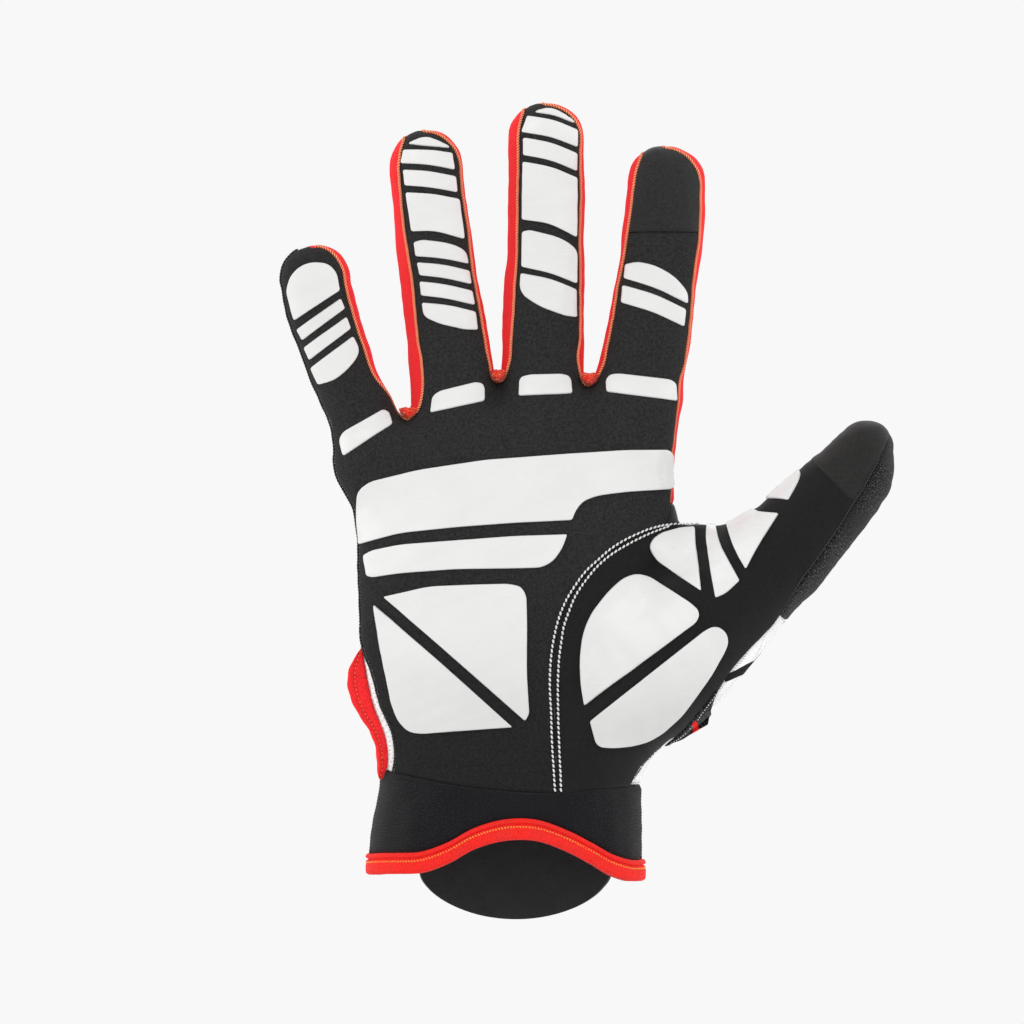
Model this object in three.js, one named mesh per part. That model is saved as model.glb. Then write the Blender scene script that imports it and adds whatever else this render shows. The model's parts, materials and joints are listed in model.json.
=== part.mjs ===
import * as THREE from "three";

// A right-hand racing glove in its worn form, in millimetres. +Z runs up the fingers, the palm faces -Y,
// the thumb leans to +X, and the origin is the centre of the wrist opening.
// One smooth hand body gives every surface: the cloth panels are thin walls laid on it, cut along the
// glove's own seams, and the silicone pads stand on the palm side.

const clothWall = 1.3;
const seamGap = 0.34;
const padLift = 0.4;
const padHeight = 0.8;
const tapeOutside = 0.7;
const tapeInside = -1.9;
const liningOutside = -1.7;
const liningInside = -3.0;

const palmPower = 2.5;
const fingerPower = 2.2;
const fingerBlend = 2.5;
const palmBlend = 7;
const thumbBlend = 5;
const palmTop = 123;
const palmCap = 9;
const palmSlant = 0.16;

const fingerColumns = 6;
const backColumns = 4;
const stripColumns = 3;
const capAngles = [22, 44];
const rimAngle = 62;
const backInset = 3.4;
const tipInset = 0.6;

function tabulate(names, rows) {
  return rows.map((row) => Object.fromEntries(names.map((name, i) => [name, row[i]])));
}

// The palm and wrist: side edges and front and back depths at rising heights.
const palmSections = tabulate(["height", "left", "right", "front", "back"], [
  [-22, -39.0, 38.2, -22.5, 22.5],
  [-2, -39.0, 38.2, -22.5, 22.5],
  [10, -38.6, 38.2, -22.0, 22.0],
  [24, -36.2, 38.0, -20.5, 20.5],
  [36, -36.6, 38.6, -18.6, 19.0],
  [48, -39.6, 40.5, -17.0, 17.8],
  [60, -41.2, 43.0, -16.0, 17.0],
  [74, -42.4, 45.5, -15.6, 16.4],
  [92, -42.8, 47.6, -15.2, 15.8],
  [100, -43.6, 47.8, -14.9, 15.5],
  [107, -44.8, 46.2, -14.6, 15.2],
  [112, -45.8, 45.8, -14.3, 14.9],
  [118, -46.4, 45.0, -13.9, 14.4],
  [126, -46.6, 44.6, -13.2, 13.6],
  [140, -46.6, 45.0, -12.0, 12.6],
]);

// The fingers: outer edges, edges of the palm cloth, middle depth and half thickness at rising heights.
// The last row of each is the centre of the round tip; top is the tip's height.
const sectionNames = ["height", "left", "right", "seamLeft", "seamRight", "middle", "half"];
const fingers = {
  pinky: {
    top: 177.4,
    rows: tabulate(sectionNames, [
      [118, -47.6, -26.6, -47.6, -28.6, 0.8, 10.4],
      [125, -51.2, -28.6, -51.2, -30.2, 0.5, 10.1],
      [133, -53.4, -32.4, -53.4, -34.0, 0.0, 9.7],
      [141, -56.8, -36.7, -56.8, -38.1, -0.8, 9.3],
      [149, -59.8, -39.3, -59.8, -41.0, -2.0, 9.1],
      [158, -62.8, -42.0, -62.8, -43.7, -4.0, 8.7],
      [167, -64.6, -44.7, -64.6, -46.3, -6.4, 8.2],
    ]),
  },
  ring: {
    top: 210.4,
    rows: tabulate(sectionNames, [
      [104, -26.0, -2.0, -23.0, -3.5, 1.0, 11.2],
      [128, -27.4, -1.8, -23.2, -3.6, 0.5, 10.6],
      [135, -27.5, -2.4, -23.5, -4.2, 0.2, 10.3],
      [140, -27.6, -3.7, -23.7, -4.7, 0.0, 10.1],
      [153, -28.8, -5.5, -25.6, -6.8, -1.0, 9.8],
      [170, -30.8, -8.8, -27.4, -9.8, -3.0, 9.5],
      [187, -32.5, -11.1, -29.9, -12.0, -5.8, 9.0],
      [199, -33.5, -12.6, -31.0, -13.5, -8.2, 8.5],
    ]),
  },
  middle: {
    top: 218.8,
    rows: tabulate(sectionNames, [
      [108, -1.5, 22.5, 1.0, 20.5, 1.0, 11.4],
      [134, -2.8, 22.2, 0.6, 20.2, 0.5, 10.8],
      [139, -1.9, 22.0, 0.6, 20.1, 0.2, 10.5],
      [145, -1.4, 21.8, 0.8, 20.0, 0.0, 10.3],
      [154, -1.6, 22.0, 1.4, 20.8, -0.8, 10.0],
      [164, -0.9, 22.2, 2.1, 20.8, -1.8, 9.8],
      [180, 0.3, 22.0, 2.9, 20.7, -4.0, 9.4],
      [196, 0.3, 21.9, 3.1, 20.8, -6.6, 9.0],
      [208, 0.4, 21.5, 3.0, 20.6, -9.0, 8.5],
    ]),
  },
  index: {
    top: 205.4,
    rows: tabulate(sectionNames, [
      [112, 21.0, 46.8, 23.0, 45.8, 1.0, 11.2],
      [126, 22.2, 48.0, 24.5, 46.9, 0.5, 10.8],
      [136, 23.8, 50.0, 25.9, 49.4, 0.0, 10.4],
      [145, 26.2, 51.4, 27.6, 50.7, -0.8, 10.1],
      [154, 28.3, 52.5, 29.5, 51.7, -1.8, 9.8],
      [170, 31.6, 54.6, 32.5, 53.3, -4.0, 9.4],
      [184, 33.2, 56.4, 34.8, 55.0, -6.4, 8.9],
      [194.6, 34.1, 56.2, 35.9, 54.7, -8.6, 8.4],
    ]),
  },
};

// The thumb's axis from the heel to the tip: half width across and half depth to front and back.
const thumbJoints = tabulate(["x", "y", "z", "wide", "deep"], [
  [23.5, -2.5, 36.5, 14.0, 16.6],
  [46.8, -4.5, 60.7, 18.8, 16.8],
  [71.1, -9.2, 85.2, 15.7, 13.6],
  [77.2, -10.6, 89.1, 14.3, 12.6],
  [82.4, -11.9, 94.4, 13.7, 11.7],
  [88.8, -13.4, 101.2, 13.3, 11.1],
  [97.8, -15.2, 111.5, 11.4, 9.9],
  [101.7, -16.0, 117.8, 9.9, 8.9],
]);
const thumbSamples = 3;

// The web of cloth that fills the corner between the thumb and the palm.
const web = { x: 55, y: -5.5, z: 87.6, wide: 11, deep: 7.5, tall: 9.7, blend: 4 };

// Rows of the palm cloth from the cuff to the fingers: height on the little-finger side, and the end on the
// thumb seam or the index side.
const palmRows = tabulate(["height", "rightX", "rightZ"], [
  [28.2, 14.3, 22.2],
  [33, 14.0, 29.4],
  [38, 13.7, 36.5],
  [47, 13.3, 49],
  [56.5, 13.4, 60.5],
  [65.5, 15.2, 70.5],
  [73, 18.6, 78.2],
  [79.5, 23.2, 84.6],
  [85.5, 29.6, 90.3],
  [91.5, 37.5, 94.9],
  [97.5, 45.5, 97.7],
  [103.5, 46.0, 104],
  [110, 45.7, 111],
  [117, 45.9, 118.5],
  [124, 46.9, 126.5],
]);
const palmTopRow = { left: 133, right: 135.5 };

// The little-finger edge of the palm cloth; below the loop it lies on the front, inside the outline.
const ulnarSeam = tabulate(["height", "edge"], [
  [22, -34.4],
  [31, -32.7],
  [39, -33.8],
  [48, -37.0],
  [56.5, -38.9],
  [65, -41.0],
  [73, -42.6],
  [91, -43.0],
  [104, -44.6],
  [112, -46.0],
  [120, -49.8],
  [126, -51.8],
  [133, -53.8],
]);

// Rows across the thumb cloth: start on the thumb seam or crotch edge (turn 0 is on the front, 1 on the
// outline, 2 behind it), and the end on the outer seam.
const thumbRows = tabulate(["turn", "leftX", "leftZ", "rightX", "rightZ", "backX", "backZ"], [
  [0, 14.3, 22.2, 35.6, 24.2, 0, 0],
  [0, 14.0, 29.4, 40.2, 29.8, 0, 0],
  [0, 13.7, 36.5, 44.7, 35.3, 0, 0],
  [0, 13.3, 49.0, 55.2, 44.8, 0, 0],
  [0, 13.4, 60.5, 63.6, 56.5, 0, 0],
  [0, 15.2, 70.5, 71.0, 64.6, 0, 0],
  [0, 18.6, 78.2, 77.6, 71.9, 45.5, 91.8],
  [0, 23.2, 84.6, 81.2, 77.2, 47.6, 92.0],
  [0, 29.6, 90.3, 84.4, 82.2, 49.7, 92.2],
  [0, 37.5, 94.9, 87.2, 86.0, 51.8, 92.4],
  [0, 45.5, 97.7, 90.0, 90.0, 53.9, 92.6],
  [1, 51.0, 97.4, 92.6, 93.8, 56.0, 92.8],
  [2, 58.2, 97.2, 94.6, 96.6, 58.1, 93.0],
  [2, 66.5, 99.2, 96.3, 99.4, 68.0, 95.8],
  [2, 76.6, 108.0, 97.4, 101.4, 78.4, 103.8],
  [2, 86.2, 116.2, 98.8, 103.8, 88.0, 112.6],
  [2, 90.4, 119.8, 101.4, 107.4, 91.6, 116.0],
  [2, 94.6, 123.2, 103.6, 111.6, 95.4, 119.2],
  [2, 98.4, 126.0, 105.6, 116.4, 98.8, 122.0],
]);
const thumbTouchRow = 15;
const gussetRow = 6;

// Where neighbouring fingers part: the saddle's place and the notch of the palm cloth just under it.
const crotches = {
  pinkyRing: { x: -28.6, saddle: 128.8 },
  ringMiddle: { x: -2.8, saddle: 138.2 },
  middleIndex: { x: 23.0, saddle: 138.2 },
};
const crotchDrop = 1.6;

// Edges across the wrist: the seam at the cuff's top, the top edge of the red binding, both by x.
const cuffSeam = tabulate(["x", "z"], [
  [-36.5, 28.6],
  [-30, 27.1],
  [-11, 23.7],
  [13, 21.9],
  [25, 23.0],
  [39, 24.0],
]);
const bindingEdge = tabulate(["x", "z"], [
  [-39.5, 4.2],
  [-33, 4.9],
  [-27, 4.9],
  [-21.7, 6.0],
  [-14.2, 9.2],
  [-8.5, 12.4],
  [-2, 14.2],
  [3.7, 14.9],
  [11, 13.8],
  [18.2, 10.8],
  [25.6, 6.9],
  [31.3, 3.7],
  [36, 2.6],
  [39.5, 2.8],
]);
const bindingWidth = 5.8;
const cuffBackEnd = -1.4;
const cuffColumns = 14;
const cuffRows = 2;
const pullTab = { middle: 2.6, half: 28.8, top: 16, straight: -1.4, drop: 14.0, columns: 14, rows: 4 };

// The folded side tab of red tape: outer and inner edge and depth at falling heights.
const sideTab = tabulate(["height", "outer", "inner", "depth"], [
  [62.4, -42.4, -41.2, -3.0],
  [59.0, -43.8, -41.0, -3.4],
  [54.6, -45.3, -40.6, -4.0],
  [50.6, -45.1, -39.8, -5.0],
  [46.4, -43.8, -38.8, -6.0],
  [42.0, -41.5, -37.2, -7.4],
  [38.0, -38.9, -35.6, -9.0],
  [33.6, -37.4, -34.6, -9.6],
  [29.6, -37.2, -34.9, -9.6],
]);
const sideTabThickness = 2.4;

const wedgeRows = tabulate(["x", "z"], [
  [46.6, 34.9],
  [48.8, 36.7],
  [51.0, 38.6],
  [53.1, 40.5],
  [55.1, 42.4],
  [56.9, 44.4],
  [58.6, 46.4],
  [60.2, 48.5],
  [61.8, 50.8],
]);
const wedgeWraps = [1.2, 3.2, 5.6, 8.2, 11];
const wedgeLift = 0.55;
const wedgeHeight = 0.6;

// Finger pads: heights of the lower and upper edge at the left and right sides, how far each edge bows up,
// and the number of rows of facets along the finger.
const padNames = ["name", "lowLeft", "lowRight", "highLeft", "highRight", "lowBow", "highBow", "rows"];
const fingerPads = {
  pinky: tabulate(padNames, [
    ["pinky_pad_1", 150.2, 159.3, 153.4, 162.2, 0, 0, 1],
    ["pinky_pad_2", 144.6, 153.6, 148.2, 157.0, 0, 0, 1],
    ["pinky_pad_3", 138.4, 146.0, 142.5, 151.5, -2.6, 0, 1],
  ]),
  ring: tabulate(padNames, [
    ["ring_pad_1", 200.4, 198.8, 204.0, 203.2, 0, 0, 1],
    ["ring_pad_2", 194.1, 192.2, 198.6, 196.8, 0, 0, 1],
    ["ring_pad_3", 181.1, 179.0, 192.2, 190.4, 1.0, 0, 2],
    ["ring_pad_4", 174.1, 172.0, 178.0, 175.3, 0, 1.2, 1],
    ["ring_pad_5", 168.7, 166.2, 172.4, 170.1, 0, 0, 1],
    ["ring_pad_6", 163.0, 160.3, 167.0, 164.4, 0, 0, 1],
    ["ring_pad_7", 157.1, 153.2, 161.0, 158.5, -0.8, 0, 1],
  ]),
  middle: tabulate(padNames, [
    ["middle_pad_1", 209.0, 205.2, 213.2, 210.2, 0, 0, 1],
    ["middle_pad_2", 202.7, 198.2, 207.7, 203.4, 0, 0, 1],
    ["middle_pad_3", 184.5, 179.5, 200.9, 196.4, 1.4, 0, 3],
    ["middle_pad_4", 171.1, 166.4, 181.4, 176.0, 0, 1.6, 2],
    ["middle_pad_5", 163.7, 156.8, 169.4, 164.8, -1.6, 0, 1],
  ]),
  index: tabulate(padNames, [
    ["index_pad_1", 167.9, 160.7, 171.9, 164.2, 0, 2.4, 1],
    ["index_pad_2", 161.0, 154.2, 166.0, 159.2, 0, 0, 1],
  ]),
};
const padMargins = {
  pinky: { left: 1.7, right: 2.1 },
  ring: { left: 1.8, right: 1.2 },
  middle: { left: 1.4, right: 1.0 },
  index: { left: 1.0, right: 1.4 },
};

// Pads of the fingertips, knuckles, palm and thumb: lower and upper edges as (x, z) from left to right.
const shapedPads = [
  {
    name: "pinky_tip_pad",
    columns: 6,
    rows: 3,
    lower: [[-60.4, 155.9], [-47.5, 164.4]],
    upper: [[-62.2, 164.0], [-60.4, 169.4], [-55.3, 172.3], [-50.4, 171.6], [-47.8, 167.2]],
  },
  {
    name: "ring_tip_pad",
    columns: 5,
    rows: 1,
    lower: [[-27.9, 205.6], [-16.4, 204.6]],
    upper: [[-27.0, 206.7], [-22.5, 207.8], [-17.4, 206.0]],
  },
  {
    name: "middle_tip_pad",
    columns: 5,
    rows: 1,
    lower: [[7.6, 214.8], [19.0, 211.5]],
    upper: [[8.6, 215.9], [12.6, 216.1], [18.2, 213.2]],
  },
  {
    name: "pinky_knuckle_pad",
    columns: 5,
    rows: 2,
    lower: [[-46.4, 117.4], [-32.5, 126.7]],
    upper: [[-47.8, 123.4], [-35.4, 131.2]],
  },
  {
    name: "ring_knuckle_pad",
    columns: 5,
    rows: 2,
    lower: [[-21.8, 129.7], [-6.4, 133.1]],
    upper: [[-22.2, 134.8], [-6.6, 139.0]],
  },
  {
    name: "middle_knuckle_pad",
    columns: 5,
    rows: 2,
    lower: [[3.3, 134.5], [18.5, 135.2]],
    upper: [[3.6, 140.6], [18.3, 141.0]],
  },
  {
    name: "index_knuckle_pad",
    lift: 0.5,
    columns: 6,
    rows: 2,
    lower: [[28.2, 135.7], [47.4, 133.1]],
    upper: [[28.2, 141.0], [47.6, 139.0]],
  },
  {
    name: "palm_band",
    columns: 20,
    rows: 3,
    lower: [[-42.0, 92.4], [-30.5, 95.5], [-14.5, 97.2], [1.7, 98.4], [18.4, 99.2], [20.4, 103.3], [25.6, 106.1],
      [33.6, 107.2], [46.0, 108.6]],
    upper: [[-42.8, 108.0], [-39.3, 110.0], [-25.6, 113.4], [-6.4, 116.3], [17.7, 118.1], [33.6, 119.1], [45.8, 119.2]],
  },
  {
    name: "palm_strip",
    columns: 14,
    rows: 2,
    lower: [[-40.2, 82.6], [-30.5, 84.1], [-14.5, 85.3], [9.7, 85.7], [13.1, 87.5], [15.7, 91.2]],
    upper: [[-41.2, 90.0], [-30.5, 92.3], [-14.5, 93.5], [1.7, 94.7], [17.1, 95.3]],
  },
  {
    name: "heel_pad_upper",
    columns: 10,
    rows: 3,
    lower: [[-35.2, 76.6], [-15.6, 60.4], [4.6, 42.6]],
    upper: [[-34.6, 78.4], [-22.2, 80.4], [-4.0, 81.2], [5.4, 79.6], [5.6, 62.0], [6.2, 45.0]],
  },
  {
    name: "heel_pad_lower",
    columns: 10,
    rows: 3,
    lower: [[-37.7, 72.6], [-34.8, 56.1], [-31.2, 40.6], [-24.2, 38.5], [-14.8, 39.3], [-0.6, 40.2]],
    upper: [[-37.4, 74.8], [-18.6, 58.6], [1.0, 41.4]],
  },
  {
    name: "thenar_pad_upper",
    lift: 0.7,
    columns: 10,
    rows: 4,
    lower: [[21.6, 47.2], [37.0, 58.2], [53.4, 70.4]],
    upper: [[20.9, 49.0], [20.5, 59.6], [22.0, 69.4], [28.8, 79.2], [36.6, 84.1], [52.0, 76.0], [54.4, 72.4]],
  },
  {
    name: "thenar_pad_lower",
    columns: 10,
    rows: 4,
    lower: [[23.6, 40.8], [25.6, 35.2], [36.8, 35.0], [43.3, 37.9], [49.0, 43.0], [55.6, 51.6], [62.4, 63.6]],
    upper: [[24.0, 42.8], [40.0, 55.2], [56.4, 68.4], [62.0, 67.0]],
  },
  {
    name: "thumb_pad_1",
    lift: 1.1,
    columns: 5,
    rows: 4,
    lower: [[40.2, 91.0], [42.4, 88.2], [47.6, 84.2], [54.8, 79.2]],
    upper: [[42.0, 94.4], [46.0, 95.9], [53.0, 96.1], [54.0, 89.0], [55.0, 80.4]],
  },
  {
    name: "thumb_pad_2",
    lift: 0.6,
    columns: 6,
    rows: 2,
    lower: [[56.3, 96.0], [57.0, 88.0], [58.9, 77.2]],
    upper: [[59.2, 96.2], [61.0, 90.6], [65.6, 82.0]],
  },
  {
    name: "thumb_pad_3",
    columns: 6,
    rows: 3,
    lower: [[62.6, 96.6], [64.3, 89.8], [67.3, 85.6]],
    upper: [[71.2, 101.0], [76.8, 101.2], [72.8, 93.8], [68.0, 86.4]],
  },
  {
    name: "thumb_pad_4",
    lift: 0.5,
    columns: 5,
    rows: 1,
    lower: [[75.0, 105.4], [79.5, 104.9], [81.5, 108.0], [82.8, 112.2]],
    upper: [[75.4, 106.3], [78.7, 110.4], [82.4, 113.4]],
  },
];
const padCorner = 1.2;
const padMerge = 0.06;

const colours = {
  blackCloth: 0x292929,
  touchCloth: 0x363433,
  redCloth: 0xe02a24,
  whiteMesh: 0xe8eef0,
  heather: 0x3a393a,
  knit: 0x2b2a2d,
  tabFace: 0x262627,
  silicone: 0xeeeced,
  redPrint: 0xd0251f,
};

function mix(a, b, share) {
  return a + (b - a) * share;
}

// Cubic interpolation of one column of a table at a height, flat beyond both ends.
function readColumn(table, column, at, key = "height") {
  const last = table.length - 1;
  if (at <= table[0][key]) return table[0][column];
  if (at >= table[last][key]) return table[last][column];
  let i = 0;
  while (table[i + 1][key] < at) i += 1;
  const slope = (j) => {
    const before = table[Math.max(j - 1, 0)];
    const after = table[Math.min(j + 1, last)];
    return (after[column] - before[column]) / (after[key] - before[key]);
  };
  const span = table[i + 1][key] - table[i][key];
  const t = (at - table[i][key]) / span;
  const rise = table[i + 1][column] - table[i][column];
  const startPull = slope(i) * span - rise;
  const endPull = rise - slope(i + 1) * span;
  return table[i][column] + rise * t + t * (1 - t) * (startPull * (1 - t) + endPull * t);
}

function smoothMin(a, b, reach) {
  const overlap = Math.max(reach - Math.abs(a - b), 0) / reach;
  return Math.min(a, b) - (overlap * overlap * reach) / 4;
}

// Signed distance, near enough, from a rounded section with half sizes (wide, deep) and cap height.
function sectionDistance(across, through, above, wide, deep, cap, power) {
  const sum = Math.abs(across / wide) ** power + Math.abs(through / deep) ** power + Math.abs(above / cap) ** power;
  return (sum ** (1 / power) - 1) * Math.min(wide, deep);
}

function palmDistance(p) {
  const front = readColumn(palmSections, "front", p.z);
  const back = readColumn(palmSections, "back", p.z);
  const left = readColumn(palmSections, "left", p.z);
  const right = readColumn(palmSections, "right", p.z);
  const above = Math.max(p.z - palmSlant * p.x - palmTop, 0);
  const wide = (right - left) / 2;
  const deep = (back - front) / 2;
  return sectionDistance(p.x - (left + right) / 2, p.y - (front + back) / 2, above, wide, deep, palmCap, palmPower);
}

function fingerDistance(finger, p) {
  const rows = finger.rows;
  const capStart = rows[rows.length - 1].height;
  const left = readColumn(rows, "left", p.z);
  const right = readColumn(rows, "right", p.z);
  const middle = readColumn(rows, "middle", p.z);
  const half = readColumn(rows, "half", p.z);
  const above = Math.max(p.z - capStart, 0);
  const below = Math.max(rows[0].height - p.z, 0);
  const cap = above > 0 ? finger.top - capStart : half;
  const wide = (right - left) / 2;
  return sectionDistance(p.x - (left + right) / 2, p.y - middle, above + below, wide, half, cap, fingerPower);
}

// The thumb's axis, sampled between its joints on a smooth curve.
function sampleThumb() {
  const joints = thumbJoints.map((joint, i) => ({ ...joint, height: i }));
  const samples = [];
  const count = (joints.length - 1) * thumbSamples;
  for (let i = 0; i <= count; i += 1) {
    const at = i / thumbSamples;
    const read = (column) => readColumn(joints, column, at);
    const place = new THREE.Vector3(read("x"), read("y"), read("z"));
    samples.push({ place, wide: read("wide"), deep: read("deep") });
  }
  return samples;
}
const thumbAxis = sampleThumb();

function thumbDistance(p) {
  let nearest = Infinity;
  for (let i = 0; i + 1 < thumbAxis.length; i += 1) {
    const start = thumbAxis[i];
    const end = thumbAxis[i + 1];
    const dx = end.place.x - start.place.x;
    const dy = end.place.y - start.place.y;
    const dz = end.place.z - start.place.z;
    const length = Math.hypot(dx, dy, dz);
    const reach = (p.x - start.place.x) * dx + (p.y - start.place.y) * dy + (p.z - start.place.z) * dz;
    const share = Math.min(Math.max(reach / (length * length), 0), 1);
    const awayX = p.x - start.place.x - dx * share;
    const awayY = p.y - start.place.y - dy * share;
    const awayZ = p.z - start.place.z - dz * share;
    const flat = Math.hypot(dx, dz);
    const across = (awayX * dz - awayZ * dx) / flat;
    const along = (awayX * dx + awayZ * dz) / flat;
    const wide = mix(start.wide, end.wide, share);
    const deep = mix(start.deep, end.deep, share);
    nearest = Math.min(nearest, sectionDistance(across, awayY, along, wide, deep, wide, 2));
  }
  return nearest;
}

// The whole hand body: below zero inside, above zero outside.
function bodyDistance(p) {
  let distance = palmDistance(p);
  if (p.z > 95) {
    let nearFingers = Infinity;
    for (const finger of Object.values(fingers)) {
      const one = fingerDistance(finger, p);
      nearFingers = nearFingers === Infinity ? one : smoothMin(nearFingers, one, fingerBlend);
    }
    distance = smoothMin(distance, nearFingers, palmBlend);
  }
  if (p.x > 0) {
    const webDistance = sectionDistance(p.x - web.x, p.y - web.y, p.z - web.z, web.wide, web.deep, web.tall, 2);
    distance = smoothMin(distance, thumbDistance(p), thumbBlend);
    distance = smoothMin(distance, webDistance, web.blend);
  }
  return distance;
}

function outward(p) {
  const step = 0.05;
  const probe = (x, y, z) => bodyDistance(new THREE.Vector3(p.x + x, p.y + y, p.z + z));
  return new THREE.Vector3(
    probe(step, 0, 0) - probe(-step, 0, 0),
    probe(0, step, 0) - probe(0, -step, 0),
    probe(0, 0, step) - probe(0, 0, -step),
  ).divideScalar(2 * step);
}

// Moves a nearby point onto the body.
function settle(x, y, z) {
  const p = new THREE.Vector3(x, y, z);
  for (let i = 0; i < 12; i += 1) {
    const away = outward(p);
    const steep = Math.max(away.lengthSq(), 0.05);
    p.addScaledVector(away, -bodyDistance(p) / steep);
  }
  return p;
}

// The body's point at (x, z) as seen from the front (side -1) or the back (side 1). Beside the outline the
// nearest point of the body is taken.
function touch(x, z, side) {
  const p = new THREE.Vector3(x, side * 45, z);
  let closest = Infinity;
  let closestY = 0;
  for (let i = 0; i < 120; i += 1) {
    const distance = bodyDistance(p);
    if (distance < closest) {
      closest = distance;
      closestY = p.y;
    }
    if (distance < 0.0005) return p;
    p.y -= side * distance;
    if (p.y * side < -40) break;
  }
  return settle(x, closestY, z);
}

function fingerValue(finger, column, height) {
  return readColumn(finger.rows, column, height);
}

// The tip's centre and its radii to the left, the right and the top, drawn in by the given insets.
function tipShape(finger, insetLeft, insetRight, insetTop) {
  const last = finger.rows[finger.rows.length - 1];
  const x = (last.left + last.right) / 2;
  return {
    x,
    z: last.height,
    left: x - last.left - insetLeft,
    right: last.right - x - insetRight,
    top: finger.top - last.height - insetTop,
  };
}

function tipPoint(shape, degrees, toLeft) {
  const angle = THREE.MathUtils.degToRad(degrees);
  const reach = toLeft ? -shape.left : shape.right;
  return [shape.x + reach * Math.cos(angle), shape.z + shape.top * Math.sin(angle)];
}

// Heights of a finger's cross rows, between its crotch and the start of its tip.
const fingerHeights = {
  pinky: [141, 147, 153, 159, 164],
  ring: [144, 150, 157, 166, 176, 186, 194],
  middle: [145, 151, 158, 168, 179, 190, 201],
  index: [143, 150, 158, 167, 174, 181, 188],
};
const indexTouchHeight = 181;

function seamInsets(finger, side) {
  const last = finger.rows[finger.rows.length - 1];
  if (side > 0) return [backInset, backInset, backInset];
  return [last.seamLeft - last.left, last.right - last.seamRight, tipInset];
}

// The little-finger edge, where the palm cloth meets the mesh at the outline.
function ulnarPoint(height) {
  if (height > 130) {
    const finger = fingers.pinky;
    return settle(fingerValue(finger, "left", height) - 0.3, fingerValue(finger, "middle", height) - 1.6, height);
  }
  const edge = readColumn(ulnarSeam, "edge", height);
  const outline = readColumn(palmSections, "left", height);
  if (edge - outline < 1.2) return settle(outline - 0.3, -2.6, height);
  return touch(edge, height, -1);
}

// A point just behind the little-finger edge, on the outline.
function ulnarOutline(height) {
  if (height > 130) {
    const finger = fingers.pinky;
    return settle(fingerValue(finger, "left", height) - 0.3, fingerValue(finger, "middle", height) + 2.4, height);
  }
  return settle(readColumn(palmSections, "left", height) - 0.3, 2.2, height);
}

// One row of points between two (x, z) ends, closer together at both ends.
function crossRow(start, end, columns, side) {
  const row = [];
  for (let i = 0; i <= columns; i += 1) {
    const even = i / columns;
    const share = mix(even, 0.5 - 0.5 * Math.cos(Math.PI * even), 0.45);
    row.push(touch(mix(start[0], end[0], share), mix(start[1], end[1], share), side));
  }
  return row;
}

// The rows of a finger's front or back panel above its base row, up to and round the tip.
function fingerBlock(name, side, columns, fromHeight) {
  const finger = fingers[name];
  const insets = seamInsets(finger, side);
  const rows = [];
  const onUlnarEdge = name === "pinky";
  for (const height of fingerHeights[name]) {
    if (height < fromHeight) continue;
    const left = fingerValue(finger, side < 0 ? "seamLeft" : "left", height) + (side > 0 ? backInset : 0);
    const right = fingerValue(finger, side < 0 ? "seamRight" : "right", height) - (side > 0 ? backInset : 0);
    const row = crossRow([left, height], [right, height], columns, side);
    if (onUlnarEdge) row[0] = ulnarPoint(height);
    if (onUlnarEdge && side > 0) row[1] = ulnarOutline(height);
    rows.push(row);
  }
  const shape = tipShape(finger, ...insets);
  for (const angle of capAngles) {
    const row = crossRow(tipPoint(shape, angle, true), tipPoint(shape, angle, false), columns, side);
    if (onUlnarEdge) row[0] = ulnarTip(angle);
    if (onUlnarEdge && side > 0) row[1] = touch(...tipPoint(shape, angle, true), side);
    rows.push(row);
  }
  rows.push(rimRow(name, side, columns));
  return rows;
}

// The little finger's outer seam carried round its tip, just in front of the outline.
function ulnarTip(degrees) {
  const finger = fingers.pinky;
  const shape = tipShape(finger, 0, 0, 0);
  const last = finger.rows[finger.rows.length - 1];
  const [x, z] = tipPoint(shape, degrees, true);
  return settle(x, last.middle - 1.6, z);
}

// The rounded edge at a finger's tip, from the left to the right.
function rimRow(name, side, columns) {
  const finger = fingers[name];
  const shape = tipShape(finger, ...seamInsets(finger, side));
  const row = [];
  for (let i = 0; i <= columns; i += 1) {
    const turn = mix(rimAngle, 180 - rimAngle, i / columns);
    const degrees = turn <= 90 ? turn : 180 - turn;
    const onUlnarEdge = name === "pinky" && turn < 89.9;
    row.push(onUlnarEdge ? ulnarTip(degrees) : touch(...tipPoint(shape, degrees, turn <= 90), side));
  }
  return row;
}

// A crotch point on the front or back, where two fingers' panels part.
function crotchPoint(name, side) {
  const crotch = crotches[name];
  return touch(crotch.x, crotch.saddle - crotchDrop * (side > 0 ? 2 : 1), side);
}

// The row that joins the palm to the four fingers, through the three crotch points.
function knuckleRow(side, columns, leftEnd, rightEnd) {
  const stops = [leftEnd, crotchPoint("pinkyRing", side), crotchPoint("ringMiddle", side),
    crotchPoint("middleIndex", side), rightEnd];
  const row = [leftEnd];
  for (let k = 0; k + 1 < stops.length; k += 1) {
    for (let i = 1; i < columns; i += 1) {
      const share = i / columns;
      row.push(touch(mix(stops[k].x, stops[k + 1].x, share), mix(stops[k].z, stops[k + 1].z, share), side));
    }
    row.push(stops[k + 1]);
  }
  return row;
}

function gridSheet(rows) {
  const points = rows.flat();
  const width = rows[0].length;
  const faces = [];
  for (let j = 0; j + 1 < rows.length; j += 1) {
    for (let i = 0; i + 1 < width; i += 1) {
      const a = j * width + i;
      faces.push([a, a + 1, a + width + 1, a + width]);
    }
  }
  return { points, faces };
}

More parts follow.
